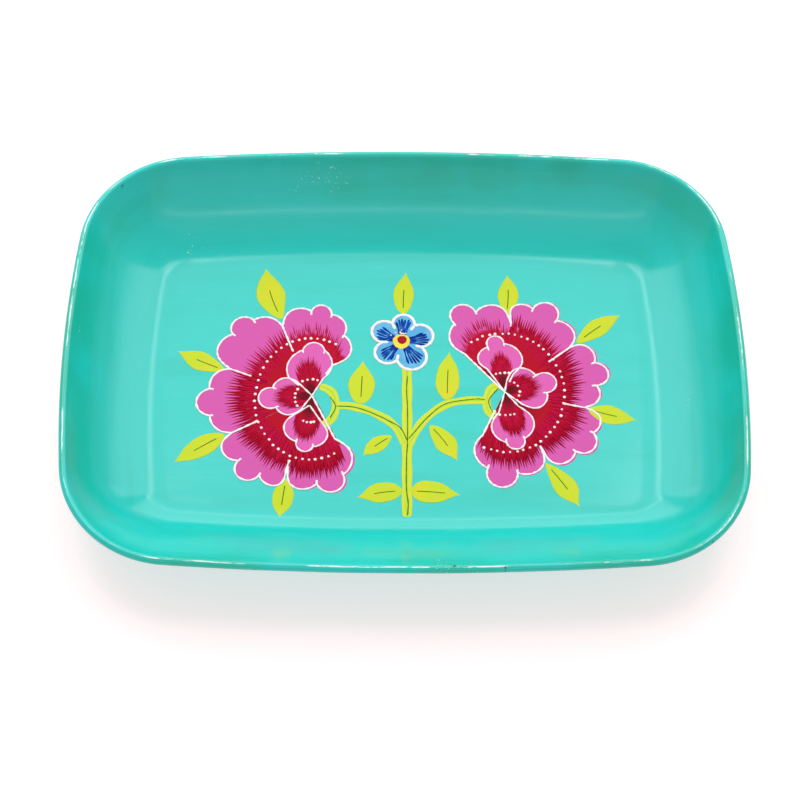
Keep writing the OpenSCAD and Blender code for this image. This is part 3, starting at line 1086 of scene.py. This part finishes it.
LEFT_PEONY = Peony(
    "left", (-41.5, -7),
    [Petal([(-55.5, 30), (-50.5, 39), (-42.5, 38), (-37.5, 41.5), (-33, 36.5), (-27, 32), (-27.5, 25),
            (-24, 18.5), (-32.5, 9)], (0.0, 0.25), (0.94, 0.90, 1.0)),
     Petal([(-55.5, 30), (-61, 34.5), (-69, 33), (-76, 34), (-78, 25.5), (-85, 17), (-79, 7)],
           (0.37, 0.0), (0.96, 0.71, 0.84)),
     Petal([(-79, 7), (-86, 3.5), (-87.5, -3.5), (-93, -9), (-87, -17.5), (-84.5, -23.5), (-76.5, -26)],
           (0.27, 0.31), (0.94, 0.78, 0.90)),
     Petal([(-76.5, -26), (-81, -34), (-73, -40), (-73, -48.5), (-64, -47.5), (-58.5, -52.5), (-51.5, -42.5)],
           (0.0, 0.06), (0.92, 0.79, 0.98)),
     Petal([(-51.5, -42.5), (-46.5, -54), (-38.5, -51.5), (-30.5, -55.5), (-27, -47), (-23, -40), (-31, -29)],
           (0.0, 1.0), (1.0, 0.87, 0.96), (1.3, -0.5))],
    [Petal([(-52, 2.5), (-52.5, 10), (-46, 17), (-41, 21), (-36, 17), (-32.5, 11), (-36.5, 2)],
           (0.45, 1.0), (0.58, 0.84, 0.58)),
     Petal([(-48, 0), (-55, 2), (-59, -3), (-65.5, -7.5), (-57.5, -13), (-53.5, -16.5), (-46.5, -14.5)],
           (1.0, 1.0), (0.58, 0.84, 0.58)),
     Petal([(-48, -16), (-53.5, -24), (-48, -30.5), (-45, -35.5), (-40.5, -33), (-35.5, -30.5), (-37.5, -20)],
           (1.0, 1.0), (0.66, 0.88, 0.66), None, (-42.5, -12))],
    11)
RIGHT_PEONY = Peony(
    "right", (45.5, -4.5),
    [Petal([(49.5, 32), (41, 42), (33.5, 38), (24, 41), (23.5, 31.5), (21, 25.5), (28, 15.5)],
           (0.05, 1.0), (1.0, 0.89, 0.95)),
     Petal([(49.5, 32), (54, 42.5), (60, 40), (68.5, 42.5), (70.5, 33.5), (78.5, 27), (76, 19)],
           (0.0, 0.0), (1.0, 0.82, 0.92), (0.9, 0.6)),
     Petal([(76, 19), (83, 20), (87, 11), (93, 4), (87, -1), (88.5, -6), (81.5, -12.5)],
           (0.33, 0.25), (0.96, 0.80, 0.92), (1.1, 0.4)),
     Petal([(81.5, -12.5), (88, -20), (84.5, -25.5), (84.5, -33.5), (76, -35), (71, -41), (60.5, -32)],
           (0.0, 0.0), (0.96, 0.82, 0.96), (0.9, -0.9)),
     Petal([(60.5, -32), (59.5, -44.5), (50, -46), (43, -53), (37, -43.5), (31, -35), (35, -27)],
           (0.0, 0.55), (1.0, 0.86, 0.96), (0.5, -0.8))],
    [Petal([(38, 7.5), (34, 13.5), (38.5, 19), (42, 25), (46, 21), (54, 14), (49.5, 4.5)],
           (1.0, 0.4), (0.58, 0.82, 0.58)),
     Petal([(46.5, 1), (53, 8), (60, 4), (69, 1), (64.5, -5), (62.5, -11.5), (53.5, -11)],
           (1.0, 1.0), (0.58, 0.82, 0.58)),
     Petal([(51.5, -12), (58, -23), (53.5, -28.5), (50.5, -34), (45.5, -30.5), (39.5, -24.5), (42.5, -15.5)],
           (1.0, 1.0), (0.72, 0.84, 0.66))],
    12)


@dataclass(frozen=True)
class Leaf:
    """One leaf: its base and tip, its width, how far it bends aside and where it is widest."""

    base: Point
    tip: Point
    width: float
    bend: float = 0.0
    belly: float = 0.45

    def centre(self, share: np.ndarray) -> np.ndarray:
        """Points on the leaf's middle line, a bent line from base to tip."""
        base, tip = np.array(self.base), np.array(self.tip)
        middle = (base + tip) / 2 + perpendicular(tip - base) * self.bend * 2
        return bent_line(base, middle, tip, share)

    def film(self, skin: Skin, level: float, thick: float, rng: np.random.Generator) -> None:
        """Lays the leaf: rows from base to tip, columns from edge to edge. Half its width is a
        power of a sine, which peaks at the belly and draws out to a point at the tip.

        Args:
            skin: the mesh that takes the leaf.
            level: height of its underside.
            thick: thickness away from its rounded border.
            rng: source of the waver in its edge.
        """
        along = np.concatenate([[0, 0.01], np.linspace(0.03, 0.97, 40), [0.99, 1]])
        across = np.array([-1, -0.97, -0.92, -0.8, -0.5, 0, 0.5, 0.8, 0.92, 0.97, 1])
        full = np.sin(pi * along ** (np.log(0.5) / np.log(self.belly)))
        half = self.width / 2 * np.maximum(full, 0) ** (0.72 + 0.75 * along ** 2)
        wave = 1 + 0.035 * np.sin(along * rng.uniform(9, 16) + rng.uniform(0, TURN))
        middle = self.centre(along)
        aside = perpendicular(np.gradient(middle, axis=0))
        plan = middle[:, None] + aside[:, None] * ((half * wave)[:, None] * across)[..., None]
        border = (half * wave)[:, None] * (1 - np.abs(across))
        skin.film(plan, thick * rounded(border, FILM_EDGE_R), level)

    def vein(self, skin: Skin, levels: Levels, width: float, rng: np.random.Generator) -> None:
        """Lays the hairline that runs up the middle of the leaf, of this width."""
        share = np.linspace(rng.uniform(0.1, 0.22), rng.uniform(0.56, 0.68), 9)
        ribbon(skin, self.centre(share), width, levels.vein, levels.second)


LEAVES = (
    Leaf((-56, 34), (-64, 62), 13, 1.6, 0.5), Leaf((-81.5, 6.5), (-103, 16.5), 9.5, 0.4, 0.5),
    Leaf((-80, -27), (-102, -41.5), 10, -0.3, 0.45), Leaf((-52, -49), (-54.5, -68.5), 9.5, 0.0, 0.5),
    Leaf((0, 37), (1.5, 60.5), 9.5, 0.5, 0.42), Leaf((-19.5, -11), (-18.5, 12), 12, 0.0, 0.4),
    Leaf((-5.5, -27.5), (-18.5, -37.5), 7.5, -0.5, 0.5), Leaf((-1, -55), (-21, -58.5), 10, -0.8, 0.42),
    Leaf((3, -55), (25, -57), 11, 0.4, 0.36), Leaf((11.5, -22), (23.5, -40), 9.5, 0.8, 0.5),
    Leaf((19.5, -9), (21, 17), 11, 0.3, 0.42), Leaf((47.5, 36.5), (48.5, 59), 9.5, -0.8, 0.5),
    Leaf((79.5, 21.5), (100.5, 37), 9, 0.8, 0.5), Leaf((83, -13.5), (104.5, -19), 9.5, -0.4, 0.45),
    Leaf((62.5, -41), (76.5, -62.5), 10, 0.6, 0.55))


@dataclass(frozen=True)
class Foliage:
    """The stem with its branches and cups, the leaves, and the dark lines drawn on both. Thickness
    is the share of a full film that the stem, a branch, each further branch, the cups and the
    leaves take."""

    stem: tuple[Point, ...] = ((1.5, 9), (1.4, -16), (1.2, -40), (1, -68))
    branches: tuple[tuple[Point, ...], ...] = (
        ((1.5, -33), (-4.5, -22), (-14, -15.5), (-24, -12.2), (-31.5, -12)),
        ((1.5, -33), (8, -20.5), (17.5, -12), (27, -9.2), (37.5, -9)))
    cups: tuple[tuple[Point, ...], ...] = (
        ((-38, -1.6), (-32.5, -5), (-30.6, -12), (-32.3, -18.5), (-37, -22.5)),
        ((45, -0.6), (39.5, -3), (37.2, -9.5), (38, -14.5), (41.5, -18)))
    stem_vein: tuple[Point, ...] = (
        (1.7, 3.8), (1.2, -3.8), (1.6, -13.3), (1.5, -30), (1, -39), (0.8, -53), (1.6, -61), (1.3, -67))
    branch_veins: tuple[tuple[Point, ...], ...] = (
        ((1.5, -30), (-1.7, -23.3), (-7.1, -19.6), (-14.7, -15.6), (-22.3, -12.8), (-30.5, -12.2)),
        ((2, -28.8), (4.8, -25.1), (11.4, -17), (19.1, -10.7), (32.2, -8.3), (36.6, -8.7)))
    cup_veins: tuple[tuple[Point, ...], ...] = (
        ((-33.3, -7.2), (-30.8, -12.5), (-33.1, -18.4)), ((42.8, -2.4), (38.2, -9.4), (40.7, -16.9)))
    stem_w: float = 4.6
    branch_w: float = 4.0
    cup_w: float = 3.8
    vein_w: float = 0.5
    thickness: tuple[float, ...] = (0.7, 0.75, 0.05, 0.86, 0.94)

    def stripe(self, skin: Skin, points: tuple[Point, ...], width: float, level: float, thick: float,
               rng: np.random.Generator) -> None:
        """Lays a film of even width along a smooth curve, with wavering edges and rounded ends.

        Args:
            skin: the mesh that takes the film.
            points: points that the curve passes.
            width: width of the film.
            level: height of its underside.
            thick: thickness away from its rounded border.
            rng: source of the waver in its edges.
        """
        path = smooth_path(points, 60)
        total = path_length(path)
        share = clustered(60, 0.02)
        line = along_path(path, share)
        aside = perpendicular(np.gradient(line, axis=0))
        end = rounded(np.minimum(share, 1 - share) * total, width * 0.4)
        half = width / 2 * end * (1 + 0.07 * np.sin(share * total * 0.45 + rng.uniform(0, TURN)))
        across = np.array([-1, -0.96, -0.88, -0.7, -0.35, 0, 0.35, 0.7, 0.88, 0.96, 1])
        plan = line[:, None] + aside[:, None] * (half[:, None] * across)[..., None]
        border = half[:, None] * (1 - np.abs(across))
        skin.film(plan, thick * rounded(border, FILM_EDGE_R), level, aside=np.abs(across))

    def build(self, levels: Levels) -> None:
        """Builds the stem, the leaves and the veins as three pieces. A branch that crosses the stem
        is a little thicker than it, and the cups lie over both.

        Args:
            levels: heights of the coats, and the surface that they follow.
        """
        rng = np.random.default_rng(SEED + 1)
        stem, leaves, veins = (Skin(levels.ground) for _ in range(3))
        stem_share, branch_share, crossing, cup_share, leaf_share = self.thickness
        self.stripe(stem, self.stem, self.stem_w, levels.floor, levels.film * stem_share, rng)
        for step, branch in enumerate(self.branches):
            thick = levels.film * (branch_share + crossing * step)
            self.stripe(stem, branch, self.branch_w, levels.floor, thick, rng)
        for cup in self.cups:
            self.stripe(stem, cup, self.cup_w, levels.floor, levels.film * cup_share, rng)
        for leaf in LEAVES:
            leaf.film(leaves, levels.floor, levels.film * leaf_share, rng)
            leaf.vein(veins, levels, self.vein_w, rng)
        for vein in (self.stem_vein, *self.branch_veins, *self.cup_veins):
            ribbon(veins, smooth_path(vein, 50), self.vein_w, levels.vein, levels.second, rough=0.3, rng=rng)
        stem.build("stem_paint", Slot.STEM, "stem")
        leaves.build("leaf_paint", Slot.LEAF, "leaves")
        veins.build("vein_lines", Slot.VEIN, "veins")


@dataclass(frozen=True)
class BlueFlower:
    """The small flower: five round lobes, a fan of dark strokes on each, and a yellow eye."""

    centre: Point = (-1, 22)
    edge: tuple[Point, ...] = (
        (5, 30.5), (0.5, 36.5), (-5, 31.5), (-14.5, 28), (-9.5, 21.5), (-11, 11.5), (-3, 12), (8, 8.5),
        (8, 19), (13.5, 24), (5, 30.5))
    per_lobe: int = 20
    fan_strokes: int = 6
    fan_half: float = 0.31
    in_w: float = 1.9
    out_w: float = 1.7
    ridge: float = 0.05
    fan_reach: float = 0.89
    fan_round: float = 0.10
    fan_start: float = 0.8
    out_reach: float = 0.85
    eye_r: float = 3.9
    eye_lift: float = 0.03
    eye_h: float = 0.12
    spot_r: float = 2.2
    spot_off: Point = (0.3, 0.8)
    spot_lift: float = 0.1
    spot_h: float = 0.14

    def outline(self) -> np.ndarray:
        """The scalloped edge as points."""
        return scallops(self.edge, self.per_lobe)

    def disc(self, skin: Skin, edge: np.ndarray, level: float, thick: float) -> None:
        """Lays a film inside a closed line: rings drawn in towards the centre.

        Args:
            skin: the mesh that takes the film.
            edge: the closed line.
            level: height of its underside.
            thick: thickness away from its rounded border.
        """
        centre = np.array(self.centre)
        out = np.array([0, 0.25, 0.5, 0.7, 0.85, 0.92, 0.96, 0.985, 0.996, 1])
        plan = centre + out[:, None, None] * (edge - centre)
        far = np.linalg.norm(edge - centre, axis=1)
        lift = thick * rounded((1 - out)[:, None] * far, FILM_EDGE_R)
        skin.film(plan, lift, level)

    def build(self, levels: Levels) -> None:
        """Builds the petals, the fans, the eye and its spot as four pieces. Each fan has strokes
        drawn in from the petal's edge and strokes drawn out from the eye.

        Args:
            levels: heights of the coats.
        """
        rng = np.random.default_rng(SEED + 2)
        centre = np.array(self.centre)
        petals, fans, eye, spot = (Skin() for _ in range(4))
        count = self.fan_strokes
        spread = np.linspace(-1, 1, count)
        self.disc(petals, self.outline(), levels.floor, levels.film)
        for crown in np.array(self.edge[1::2]):
            far = np.linalg.norm(crown - centre)
            middle = heading(crown - centre)
            ray = unit(middle + self.fan_half * spread + rng.uniform(-0.02, 0.02, count))
            outer = far * (self.fan_reach - self.fan_round * spread ** 2) * rng.uniform(0.95, 1.03, count)
            inner = np.full(count, self.eye_r * self.fan_start)
            for start, end, width in ((outer, inner, self.in_w), (inner, outer * self.out_reach, self.out_w)):
                strokes(fans, centre + ray * start[:, None], centre + ray * end[:, None],
                        width * rng.uniform(0.85, 1.15, count), rng.uniform(-0.2, 0.2, count),
                        levels.second, self.ridge, rng.uniform(0, 0.9, count))
        turn = np.linspace(0, TURN, 49)
        ring = unit(turn) * (1 + 0.03 * np.sin(3 * turn) + 0.02 * np.sin(7 * turn))[:, None]
        self.disc(eye, centre + ring * self.eye_r, levels.second + self.eye_lift, self.eye_h)
        self.disc(spot, centre + self.spot_off + ring * self.spot_r, levels.second + self.spot_lift,
                  self.spot_h)
        petals.build("blue_petal_paint", Slot.BLUE, "blue_flower")
        fans.build("blue_petal_strokes", Slot.BLUE)
        eye.build("eye_ring", Slot.YELLOW, "flower_eye")
        spot.build("eye_dot", Slot.RED, "eye_spot")


@dataclass(frozen=True)
class WhiteWork:
    """The raised white lines round the petals, and the rows of white dots. A row is an ellipse's
    centre and half sizes, the angles where it starts and ends, and its number of dots."""

    line_w: float = 0.95
    heart_line_w: float = 0.78
    dot_r: float = 0.62
    line_h: float = 0.24
    heart_line_h: float = 0.22
    blue_line_h: float = 0.26
    dot_h: float = 0.26
    blue_line_share: float = 1.5
    sunk: float = 0.03
    barb_w: float = 1.5
    barb_h: float = 0.25
    barb_share: float = 0.3
    flecks: int = 9
    fleck_h: float = 0.2
    petal_rows: tuple[tuple[float, ...], ...] = (
        (-42, -8, 25, 31.5, 64, 296, 36), (45.5, -4.5, 27, 31, -112, 122, 38))
    heart_rows: tuple[tuple[float, ...], ...] = (
        (-41.5, -7, 8.5, 8.5, 72, 120, 4), (-41.5, -8, 7.8, 7.8, 145, 215, 5),
        (-41.5, -11, 9.6, 9.6, 246, 279, 4), (45.5, -4.5, 10, 10, 78, 112, 4),
        (45.5, -4.5, 6.8, 6.8, -40, 48, 5), (45.5, -4.5, 12.2, 12.2, 258, 290, 4))

    def row(self, skin: Skin, row: tuple[float, ...], level: float, rng: np.random.Generator) -> None:
        """Lays dots along part of an ellipse, a little off their places, as a hand sets them.

        Args:
            skin: the mesh that takes the dots.
            row: centre, half sizes, first and last angle, and number of dots.
            level: height of the surface that they lie on.
            rng: source of each dot's place and size.
        """
        x, y, wide, tall, start, end, number = row
        count = int(number)
        line = np.array([x, y]) + np.array([wide, tall]) * unit(np.radians(np.linspace(start, end, count)))
        centres = line + rng.normal(0, 0.16, (count, 2))
        dots(skin, centres, self.dot_r * rng.uniform(0.85, 1.2, count), level, self.dot_h)

    def build(self, levels: Levels, blue: BlueFlower) -> None:
        """Builds the outlines and dots as four pieces.

        Args:
            levels: heights of the coats.
            blue: the small flower, for its outline.
        """
        rng = np.random.default_rng(SEED + 3)
        outlines, heart_lines, petal_dots, heart_dots = (Skin() for _ in range(4))
        for flower in (LEFT_PEONY, RIGHT_PEONY):
            flower.lines(outlines, flower.petals, self.line_w, self.line_h, levels.second, rng)
            flower.lines(heart_lines, flower.hearts, self.heart_line_w, self.heart_line_h, levels.heart, rng)
        ribbon(outlines, blue.outline(), self.line_w * self.blue_line_share, self.blue_line_h,
               levels.second - self.sunk, rough=0.3, rng=rng)
        centre = np.array(blue.centre)
        for cusp in np.array(blue.edge[:-1:2]):
            barb = np.stack([cusp, cusp + (centre - cusp) * self.barb_share])
            ribbon(outlines, barb, self.barb_w, self.barb_h, levels.second)
        count = self.flecks
        flecks = centre + unit(np.radians(rng.uniform(55, 150, count))) * rng.uniform(4, 6.6, count)[:, None]
        dots(outlines, flecks, rng.uniform(0.22, 0.5, count), levels.second + self.sunk, self.fleck_h)
        for row in self.petal_rows:
            self.row(petal_dots, row, levels.second, rng)
        for row in self.heart_rows:
            self.row(heart_dots, row, levels.heart, rng)
        outlines.build("petal_line_work", Slot.WHITE, "petal_outlines")
        heart_lines.build("heart_line_work", Slot.WHITE, "heart_outlines")
        petal_dots.build("petal_dot_work", Slot.WHITE, "petal_dots")
        heart_dots.build("heart_dot_work", Slot.WHITE, "heart_dots")


# ---------------------------------------------------------------- dressing


@dataclass(frozen=True)
class Palette:
    """Gives every piece its paint."""

    def finishes(self) -> dict[str, Finish]:
        """The paint of each piece.

        Returns:
            Finish by piece name. Pieces with the same finish share one material.
        """
        petal = PetalPaint("petal_paint", 0.35, 0.06, 0.012)
        heart = PetalPaint("heart_paint", 0.35, 0.06, 0.012, edge=(0.66, 0.115, 0.41),
                           blush=(0.66, 0.10, 0.33), inner=(0.38, 0.0, 0.02), core=(0.13, 0.0, 0.008),
                           turn_low=0.66, turn_high=0.74, core_end=0.5)
        crimson_stroke = TwoTone("crimson_stroke", 0.35, 0.05, 0.01, one=(0.38, 0.0, 0.018),
                                 other=(0.52, 0.003, 0.048), guide="tone")
        white = TwoTone("white_line", 0.3, 0.2, 0.01, one=(0.90, 0.82, 0.82),
                        other=(0.86, 0.73, 0.74), grain=120.0)
        paints: dict[str, Finish] = {
            "painted_pan": Enamel("turquoise_enamel", 0.12, 0.5, 0.02),
            "rim_wire": TwoTone("drawn_steel", 0.35, 0.5, 0.01, one=(0.5, 0.5, 0.49),
                                other=(0.38, 0.37, 0.36)),
            "stem_paint": TwoTone("stem_paint", 0.35, 0.08, 0.015, one=(0.30, 0.58, 0.05),
                                  other=(0.58, 0.66, 0.04), guide="aside", stretch=(1.0, 0.2, 1.0),
                                  low=0.05, high=0.45),
            "leaf_paint": TwoTone("leaf_paint", 0.35, 0.08, 0.015, one=(0.54, 0.63, 0.027),
                                  other=(0.66, 0.60, 0.027), grain=70.0, low=0.48, high=0.80),
            "vein_lines": TwoTone("vein_paint", 0.35, 0.1, 0.01, one=(0.035, 0.14, 0.008),
                                  other=(0.07, 0.21, 0.01)),
            "blue_petal_paint": TwoTone("light_blue", 0.35, 0.08, 0.012, one=(0.09, 0.38, 0.64),
                                        other=(0.16, 0.47, 0.70)),
            "blue_petal_strokes": TwoTone("dark_blue", 0.35, 0.05, 0.01, one=(0.001, 0.022, 0.24),
                                          other=(0.004, 0.06, 0.38), guide="tone"),
            "eye_ring": TwoTone("eye_yellow", 0.3, 0.1, 0.01, one=(0.84, 0.62, 0.05),
                                other=(0.84, 0.68, 0.10)),
            "eye_dot": TwoTone("spot_red", 0.3, 0.1, 0.01, one=(0.33, 0.0, 0.012),
                               other=(0.25, 0.0, 0.01)),
        }
        for part, ground in (("petal", petal), ("heart", heart)):
            for side in ("left", "right"):
                paints[f"{side}_{part}_paint"] = ground
                paints[f"{side}_{part}_strokes"] = crimson_stroke
            paints[f"{part}_line_work"] = white
            paints[f"{part}_dot_work"] = white
        return paints

    def dress(self) -> None:
        """Builds each material once and gives it to its pieces."""
        marks = brush_marks()
        made: dict[Finish, bpy.types.Material] = {}
        for piece_name, finish in self.finishes().items():
            if finish not in made:
                made[finish] = finish.material(marks)
            mesh = bpy.data.objects[piece_name].data
            mesh.materials.clear()
            mesh.materials.append(made[finish])
            LOG.info("%s is painted with %s", piece_name, finish.name)


# ---------------------------------------------------------------- the studio


@dataclass(frozen=True)
class Viewpoint:
    """The camera: where it looks, from which angle and how far off."""

    look_at: tuple[float, float, float]
    elevation: float = 59.965
    turn: float = -1.763
    tilt: float = -1.739
    distance: float = 846.86
    lens: float = 88.0

    near: float = 0.01
    far: float = 50.0

    def build(self) -> None:
        """Makes the camera and sets it as the scene's. It looks ahead from its angle, with its
        picture turned by its tilt round that line."""
        up_angle, turn, tilt = np.radians([self.elevation, self.turn, self.tilt])
        ahead = np.array([-np.sin(turn) * np.cos(up_angle), np.cos(turn) * np.cos(up_angle),
                          -np.sin(up_angle)])
        right = np.array([np.cos(turn), np.sin(turn), 0])
        up = np.cross(right, ahead)
        picture_right = right * np.cos(tilt) - up * np.sin(tilt)
        picture_up = right * np.sin(tilt) + up * np.cos(tilt)
        data = bpy.data.cameras.new("view")
        data.lens, data.clip_start, data.clip_end = self.lens, self.near, self.far
        camera = bpy.data.objects.new("view", data)
        pose = Matrix(np.stack([picture_right, picture_up, -ahead]).T.tolist()).to_4x4()
        pose.translation = Vector(((np.array(self.look_at) - ahead * self.distance) * MM).tolist())
        camera.matrix_world = pose
        bpy.context.scene.collection.objects.link(camera)
        bpy.context.scene.camera = camera
        LOG.info("view: %.0f mm lens", self.lens)


@dataclass(frozen=True)
class SoftBox:
    """A rectangular studio light that faces the tray from a distance in metres."""

    name: str
    direction: tuple[float, float, float]
    distance: float
    size: tuple[float, float]
    brightness: float

    def build(self) -> None:
        """Makes the light. Its power is brightness times pi times its area."""
        data = bpy.data.lights.new(self.name, "AREA")
        data.shape = "RECTANGLE"
        data.size, data.size_y = self.size
        data.energy = self.brightness * pi * self.size[0] * self.size[1]
        lamp = bpy.data.objects.new(self.name, data)
        away = Vector(self.direction).normalized()
        lamp.location = away * self.distance
        lamp.rotation_euler = away.to_track_quat("Z", "Y").to_euler()
        bpy.context.scene.collection.objects.link(lamp)


@dataclass(frozen=True)
class Studio:
    """The plain floor, the room's soft light and the lamps."""

    lamps: tuple[SoftBox, ...] = (
        SoftBox("overhead", (0.0, 0.47, 0.88), 1.35, (1.3, 1.0), 1.4),
        SoftBox("left_strip", (-0.292, 0.447, 0.845), 1.32, (0.14, 0.9), 2.9),
        SoftBox("right_strip", (0.292, 0.447, 0.845), 1.32, (0.14, 0.9), 2.6),
        SoftBox("back", (0.0, 0.87, 0.50), 1.5, (1.7, 0.9), 1.75),
        SoftBox("front", (0.0, -0.75, 0.66), 1.5, (2.4, 1.2), 0.28),
        SoftBox("left_side", (-0.557, 0.5, 0.663), 1.2, (0.26, 1.2), 1.9),
        SoftBox("right_side", (0.557, 0.5, 0.663), 1.2, (0.26, 1.2), 1.8),
        SoftBox("front_tube", (0.0, -0.64, 0.77), 1.1, (1.1, 0.03), 3.2))
    room: float = 0.55
    floor_size: float = 8.0
    floor_drop: float = 0.0002
    paper: Colour = (0.74, 0.56, 0.57)
    paper_rough: float = 0.9
    paper_glow: float = 0.48

    def build(self) -> None:
        """Makes the floor, the world and the lamps. The room lights the tray less brightly than it
        shows to the camera."""
        for lamp in self.lamps:
            lamp.build()
        bpy.ops.mesh.primitive_plane_add(size=self.floor_size, location=(0, 0, -self.floor_drop))
        floor = bpy.context.object
        floor.name = "studio_floor"
        paper = bpy.data.materials.new("white_paper")
        paper.use_nodes = True
        surface = paper.node_tree.nodes["Principled BSDF"]
        for socket, value in (("Base Color", (*self.paper, 1)), ("Emission Color", (1, 1, 1, 1)),
                              ("Emission Strength", self.paper_glow), ("Roughness", self.paper_rough),
                              ("Specular IOR Level", 0.0)):
            surface.inputs[socket].default_value = value
        floor.data.materials.append(paper)
        world = bpy.data.worlds.new("room")
        bpy.context.scene.world = world
        world.use_nodes = True
        shader = Shader(world.node_tree)
        seen = shader.add("ShaderNodeLightPath").outputs["Is Camera Ray"]
        strength = shader.add("ShaderNodeMapRange", {"Value": seen, "To Min": self.room, "To Max": 1.0})
        back = world.node_tree.nodes["Background"]
        back.inputs["Color"].default_value = (1, 1, 1, 1)
        world.node_tree.links.new(strength.outputs[0], back.inputs["Strength"])
        bpy.context.scene.view_settings.view_transform = "Standard"
        LOG.info("studio: %d lamps", len(self.lamps))


# How far the middle of the rolled rim lies below its top.
RIM_HALF = 1.8


def main() -> None:
    """Builds the whole look in order: camera, pan, motif, paints and studio."""
    logging.basicConfig(level=logging.INFO, format="%(name)s: %(message)s")
    low, high = (np.array(corner) / MM for corner in CAD_BOX)
    half_l, half_w = (high - low)[:2] / 2
    Viewpoint((-2.28, -25.62, high[2] - RIM_HALF)).build()
    pan = Pan(RimPlan(half_l, half_w), high[2])
    pan.build()
    levels = Levels(ground=pan.ground())
    Foliage().build(levels)
    blue = BlueFlower()
    blue.build(levels)
    for flower in (LEFT_PEONY, RIGHT_PEONY):
        flower.build(levels)
    WhiteWork().build(levels, blue)
    Palette().dress()
    Studio().build()


if __name__ == "__main__":
    main()
